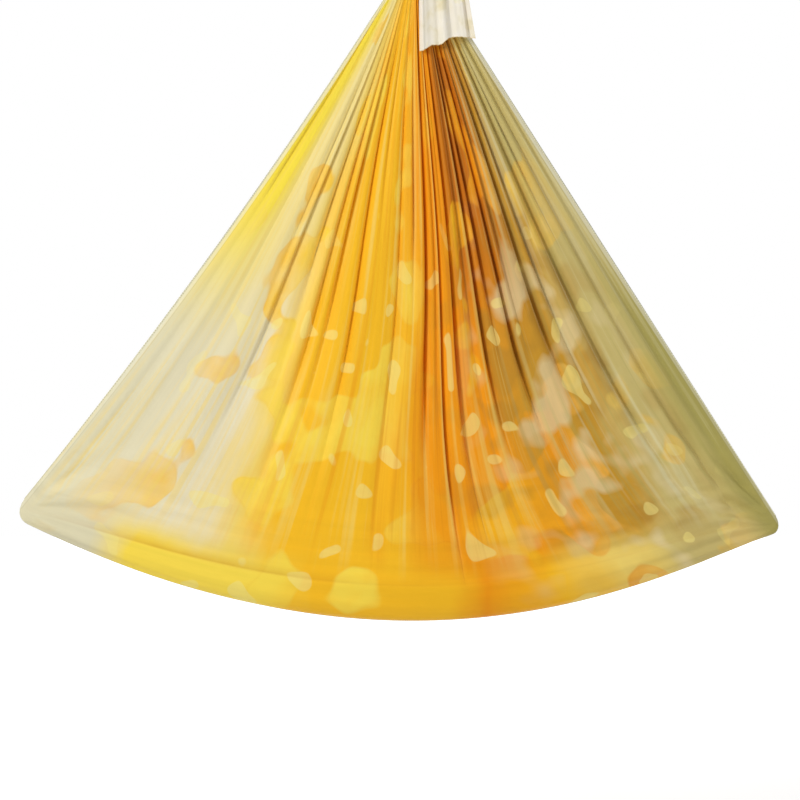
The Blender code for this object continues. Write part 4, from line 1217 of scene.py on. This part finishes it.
def tail_points(tail):
    """A loose end on a grid: it leaves the knot narrow, spreads soon to most of its width, then evenly.

    Its pleats are three sines of a share bent by two more, and grow with the spread. It keeps clear of
    the leaf behind it, and its foot curls forward a little and is cut not quite straight.
    """
    draw = np.random.default_rng(tail["seed"])
    share = np.linspace(0, 1, TAIL_COLUMNS)
    down = np.linspace(0, 1, TAIL_ROWS)[:, None]
    soon = 1 - (1 - np.clip(down / TAIL_SPREAD_END, 0, 1)) ** 2.6
    spread = TAIL_SPREAD_SHARE * soon + (1 - TAIL_SPREAD_SHARE) * down
    near, far = (top + (foot - top) * spread for top, foot in (tail["left"], tail["right"]))
    fall = (tail_foot(tail) + TAIL_FRAY * np.sin(61 * share) * np.sin(23 * share)) * down
    below_knot = fall / (DROP_MIDDLE - SEAT_HEIGHT - APEX_ABOVE_KNOT)
    bent = share + 0.035 * np.sin(2 * np.pi * share + 0.6)
    bent = bent + 0.02 * np.sin(4 * np.pi * share * (1 + 0.2 * down))
    pleat = np.zeros((TAIL_ROWS, TAIL_COLUMNS))
    for waves, size in TAIL_PLEATS:
        pleat = pleat + size * np.sin(2 * np.pi * waves * bent + draw.uniform(0, 6.3))
    pleat = pleat * (0.62 + 0.38 * spread)
    y = leaf_depth(0.0, below_knot) + TAIL_CLEARANCE + pleat + TAIL_CURL * down**5
    x = near + (far - near) * share + TAIL_LEAN * pleat
    return points_of(x, tail["side"] * y, knot_foot + TAIL_TUCK - fall)


def cream_tricot():
    """Undyed cream tricot, with faint lemon and oat blooms of dye and a darker cut edge."""
    made, tree, shader = new_material("cream_tricot")
    flat = flat_place(tree)
    metres = scaled(tree, flat, TAIL_MAP)
    tints = (
        (0.30, dye(226, 214, 172)),
        (0.46, dye(240, 232, 212)),
        (0.60, dye(242, 235, 220)),
        (0.74, dye(244, 232, 168)),
    )
    colour = ramp_node(tree, noise(tree, metres, 9.0, 3.0), tints)
    grain = remap(tree, noise(tree, metres, 420.0, 2.0), 0.0, 1.0, 0.94, 1.04)
    colour = laid(tree, colour, grain, 1.0, blend="MULTIPLY")
    edge = remap(tree, add_node(tree, "SeparateXYZ", {0: flat}).outputs[1], 0.988, 0.997)
    colour = laid(tree, colour, dye(214, 190, 138), edge)
    tricot_look(tree, shader, colour, 0.55, tricot_relief(tree, metres, 0.35))
    return made


cream_finish = cream_tricot()
for tail in (FRONT_TAIL, BACK_TAIL):
    points, flat_map = tail_points(tail), unit_map(TAIL_COLUMNS, TAIL_ROWS)
    if tail["side"] > 0:
        points, flat_map = points[:, ::-1], flat_map[:, ::-1]
    loose_end = surface(tail["name"], points, flat_map)
    add_piece(loose_end, "hammock", cream_finish, "cream_cloth", tail["replaced"])


# The knot: the cloth's gathered top goes through the ring as one thick fluted strand, is wrapped about
# itself in nearly three and a half turns, and its end is tucked in. All of it is the same dyed tricot.

STRAND_RADIUS = 0.0142
STRAND_BAR_GAP = 0.0003
STRAND_LEG = 0.034
WRAP_TURNS = 3.4
WRAP_START = -1.9
WRAP_PATH_RADIUS = 0.0305
WRAP_TUCK_RADIUS = 0.014
WRAP_TUCK_SHARE = 0.07
WRAP_HALF_HEIGHT = 0.0080
WRAP_HALF_DEPTH = 0.0118
WRAP_TOP = 0.0082
WRAP_SLACK = 0.0010
WRAP_SAG = 0.0012
THROAT_RADIUS = 0.0215
THROAT_FLATNESS = 0.72
THROAT_DOME = 0.30
THROAT_ABOVE = 0.004
THROAT_ROWS = 60
KNOT_MAP = (0.09, 0.14, 0.0)


def gathered_outline(turn, run, lobes, depth, seed):
    """A gathered strand's radius, 1 at the ridges: 1 - depth * (1 - |sin(lobes * bent / 2)|) ** 1.6.

    The angle is bent by two sines so that no two lobes are alike, and drifts with the run. Finer flutes of
    the same kind, three times as many, are a third as deep.
    """
    draw = np.random.default_rng(seed)
    bent = turn + 0.22 * np.sin(2 * turn + draw.uniform(0, 6.3))
    bent = bent + 0.10 * np.sin(5 * turn + draw.uniform(0, 6.3))
    drift = 0.5 * np.sin(3.0 * run + draw.uniform(0, 6.3)) + 0.8 * run
    valley = 1 - np.abs(np.sin(0.5 * lobes * bent + drift))
    fine = 1 - np.abs(np.sin(1.5 * lobes * bent - 2 * drift + 0.7))
    return 1 - depth * valley**1.6 - 0.3 * depth * fine**2


def gathered_strand():
    """The loop over the ring: up in front of its bar, round it in half a circle and down behind it."""
    bend = EIGHT_BAR_RADIUS + STRAND_BAR_GAP + STRAND_RADIUS
    y, z = u_path(np.linspace(-STRAND_LEG, 0, 13)[:-1], bend, np.linspace(np.pi, 0, 49))
    run = np.linspace(0, 1, len(y))[:, None]
    radius = STRAND_RADIUS * gathered_outline(strand_turn, run, 11, 0.17, 21)
    path = points_of(0, y, eight_foot + EIGHT_BAR_RADIUS + z)
    return welded("gathered_strand", carried(path, (1.0, 0.0, 0.0), radius[..., None] * strand_section))


def knot_turns():
    """The turns: a helix about the strand's legs, tucked in to them at both ends."""
    winding = np.linspace(0, 2 * np.pi * WRAP_TURNS, 420)
    run = np.linspace(0, 1, len(winding))
    tuck = ease(0.0, WRAP_TUCK_SHARE, run) * ease(0.0, WRAP_TUCK_SHARE, 1 - run)
    reach = WRAP_TUCK_RADIUS + (WRAP_PATH_RADIUS - WRAP_TUCK_RADIUS) * tuck
    reach = reach + WRAP_SLACK * np.sin(2.3 * winding)
    level = knot_top - WRAP_TOP - (knot_top - knot_foot - 2 * WRAP_TOP) * run
    level = level + WRAP_SAG * np.sin(winding + 0.8) * tuck
    side = points_of(np.cos(winding + WRAP_START), np.sin(winding + WRAP_START), 0)
    path = reach[:, None] * side + points_of(0, 0, level)
    swell = gathered_outline(strand_turn, 2.5 * run[:, None], 9, 0.15, 31)
    outline = swell[..., None] * strand_section * (WRAP_HALF_DEPTH, WRAP_HALF_HEIGHT)
    return welded("knot_turns", carried(path, side, outline))


def knot_throat():
    """The gathered cloth inside the turns: a fluted column with a domed top that ends in the leaves."""
    run = (0.5 - 0.5 * np.cos(np.pi * np.linspace(0, 1, THROAT_ROWS)))[:, None]
    level = knot_top + THROAT_ABOVE - (knot_top - knot_foot) * run[:, 0]
    dome = np.sqrt(np.clip(1 - (1 - np.clip(run / THROAT_DOME, 0, 1)) ** 2, 0.0004, 1))
    flute = gathered_outline(strand_turn, run, 17, 0.16, 41)
    radius = THROAT_RADIUS * dome * (1 + (flute - 1) * dome**2)
    outline = radius[..., None] * strand_section * (1.0, THROAT_FLATNESS)
    return welded("knot_throat", carried(points_of(0, 0, level), (1.0, 0.0, 0.0), outline))


def knot_tricot():
    """The dyed cloth where it is gathered tight: gold, olive and cream streaks along the strand."""
    made, tree, shader = new_material("knot_tricot")
    flat = flat_place(tree)
    streaks = noise(tree, scaled(tree, flat, (9.0, 1.6, 0.0)), 1.6, 4.0, 0.6)
    dyes = (
        (0.28, dye(190, 178, 104)),
        (0.40, dye(244, 224, 110)),
        (0.50, dye(250, 190, 50)),
        (0.60, dye(240, 152, 24)),
        (0.70, dye(236, 226, 196)),
    )
    metres = scaled(tree, flat, KNOT_MAP)
    tricot_look(tree, shader, ramp_node(tree, streaks, dyes), 0.52, tricot_relief(tree, metres, 0.3))
    return made


strand_turn, strand_section = round_section(96)
strand, wrap, core = gathered_strand(), knot_turns(), knot_throat()
knot_finish = knot_tricot()
for piece, replaced in ((strand, ["knot_loop"]), (wrap, ["knot_wrap"]), (core, [])):
    add_piece(piece, "hammock", knot_finish, "front_cloth", *replaced)


# The hems: both long edges of the cloth are rolled into a thin cord and oversewn with pale thread. They
# run from the knot down the front, round the seat's corners and up the back.

HEM_ROLL_RADIUS = 0.0017


def hem_thread():
    """The narrow rolled hem, oversewn with pale thread: olive cream, darker between the stitches."""
    made, tree, shader = new_material("hem_thread")
    flat = flat_place(tree)
    stitches = wave_node(tree, flat, "Y", 240.0, 1.0, 2.0)
    threads = ((0.0, dye(204, 198, 160)), (0.45, dye(222, 217, 184)), (1.0, dye(232, 229, 206)))
    tricot_look(tree, shader, ramp_node(tree, stitches, threads), 0.6, bump(tree, stitches, 0.2, 0.0003))
    return made


hem_finish = hem_thread()
_, roll_section = round_section(8)
for name, column in (("hem_roll_left", 0), ("hem_roll_right", -1)):
    roll_grid = carried(sheet_points[:, column], (1.0, 0.0, 0.0), HEM_ROLL_RADIUS * roll_section[None])
    roll = welded(name, roll_grid)
    add_piece(roll, "hammock", hem_finish, "front_cloth")
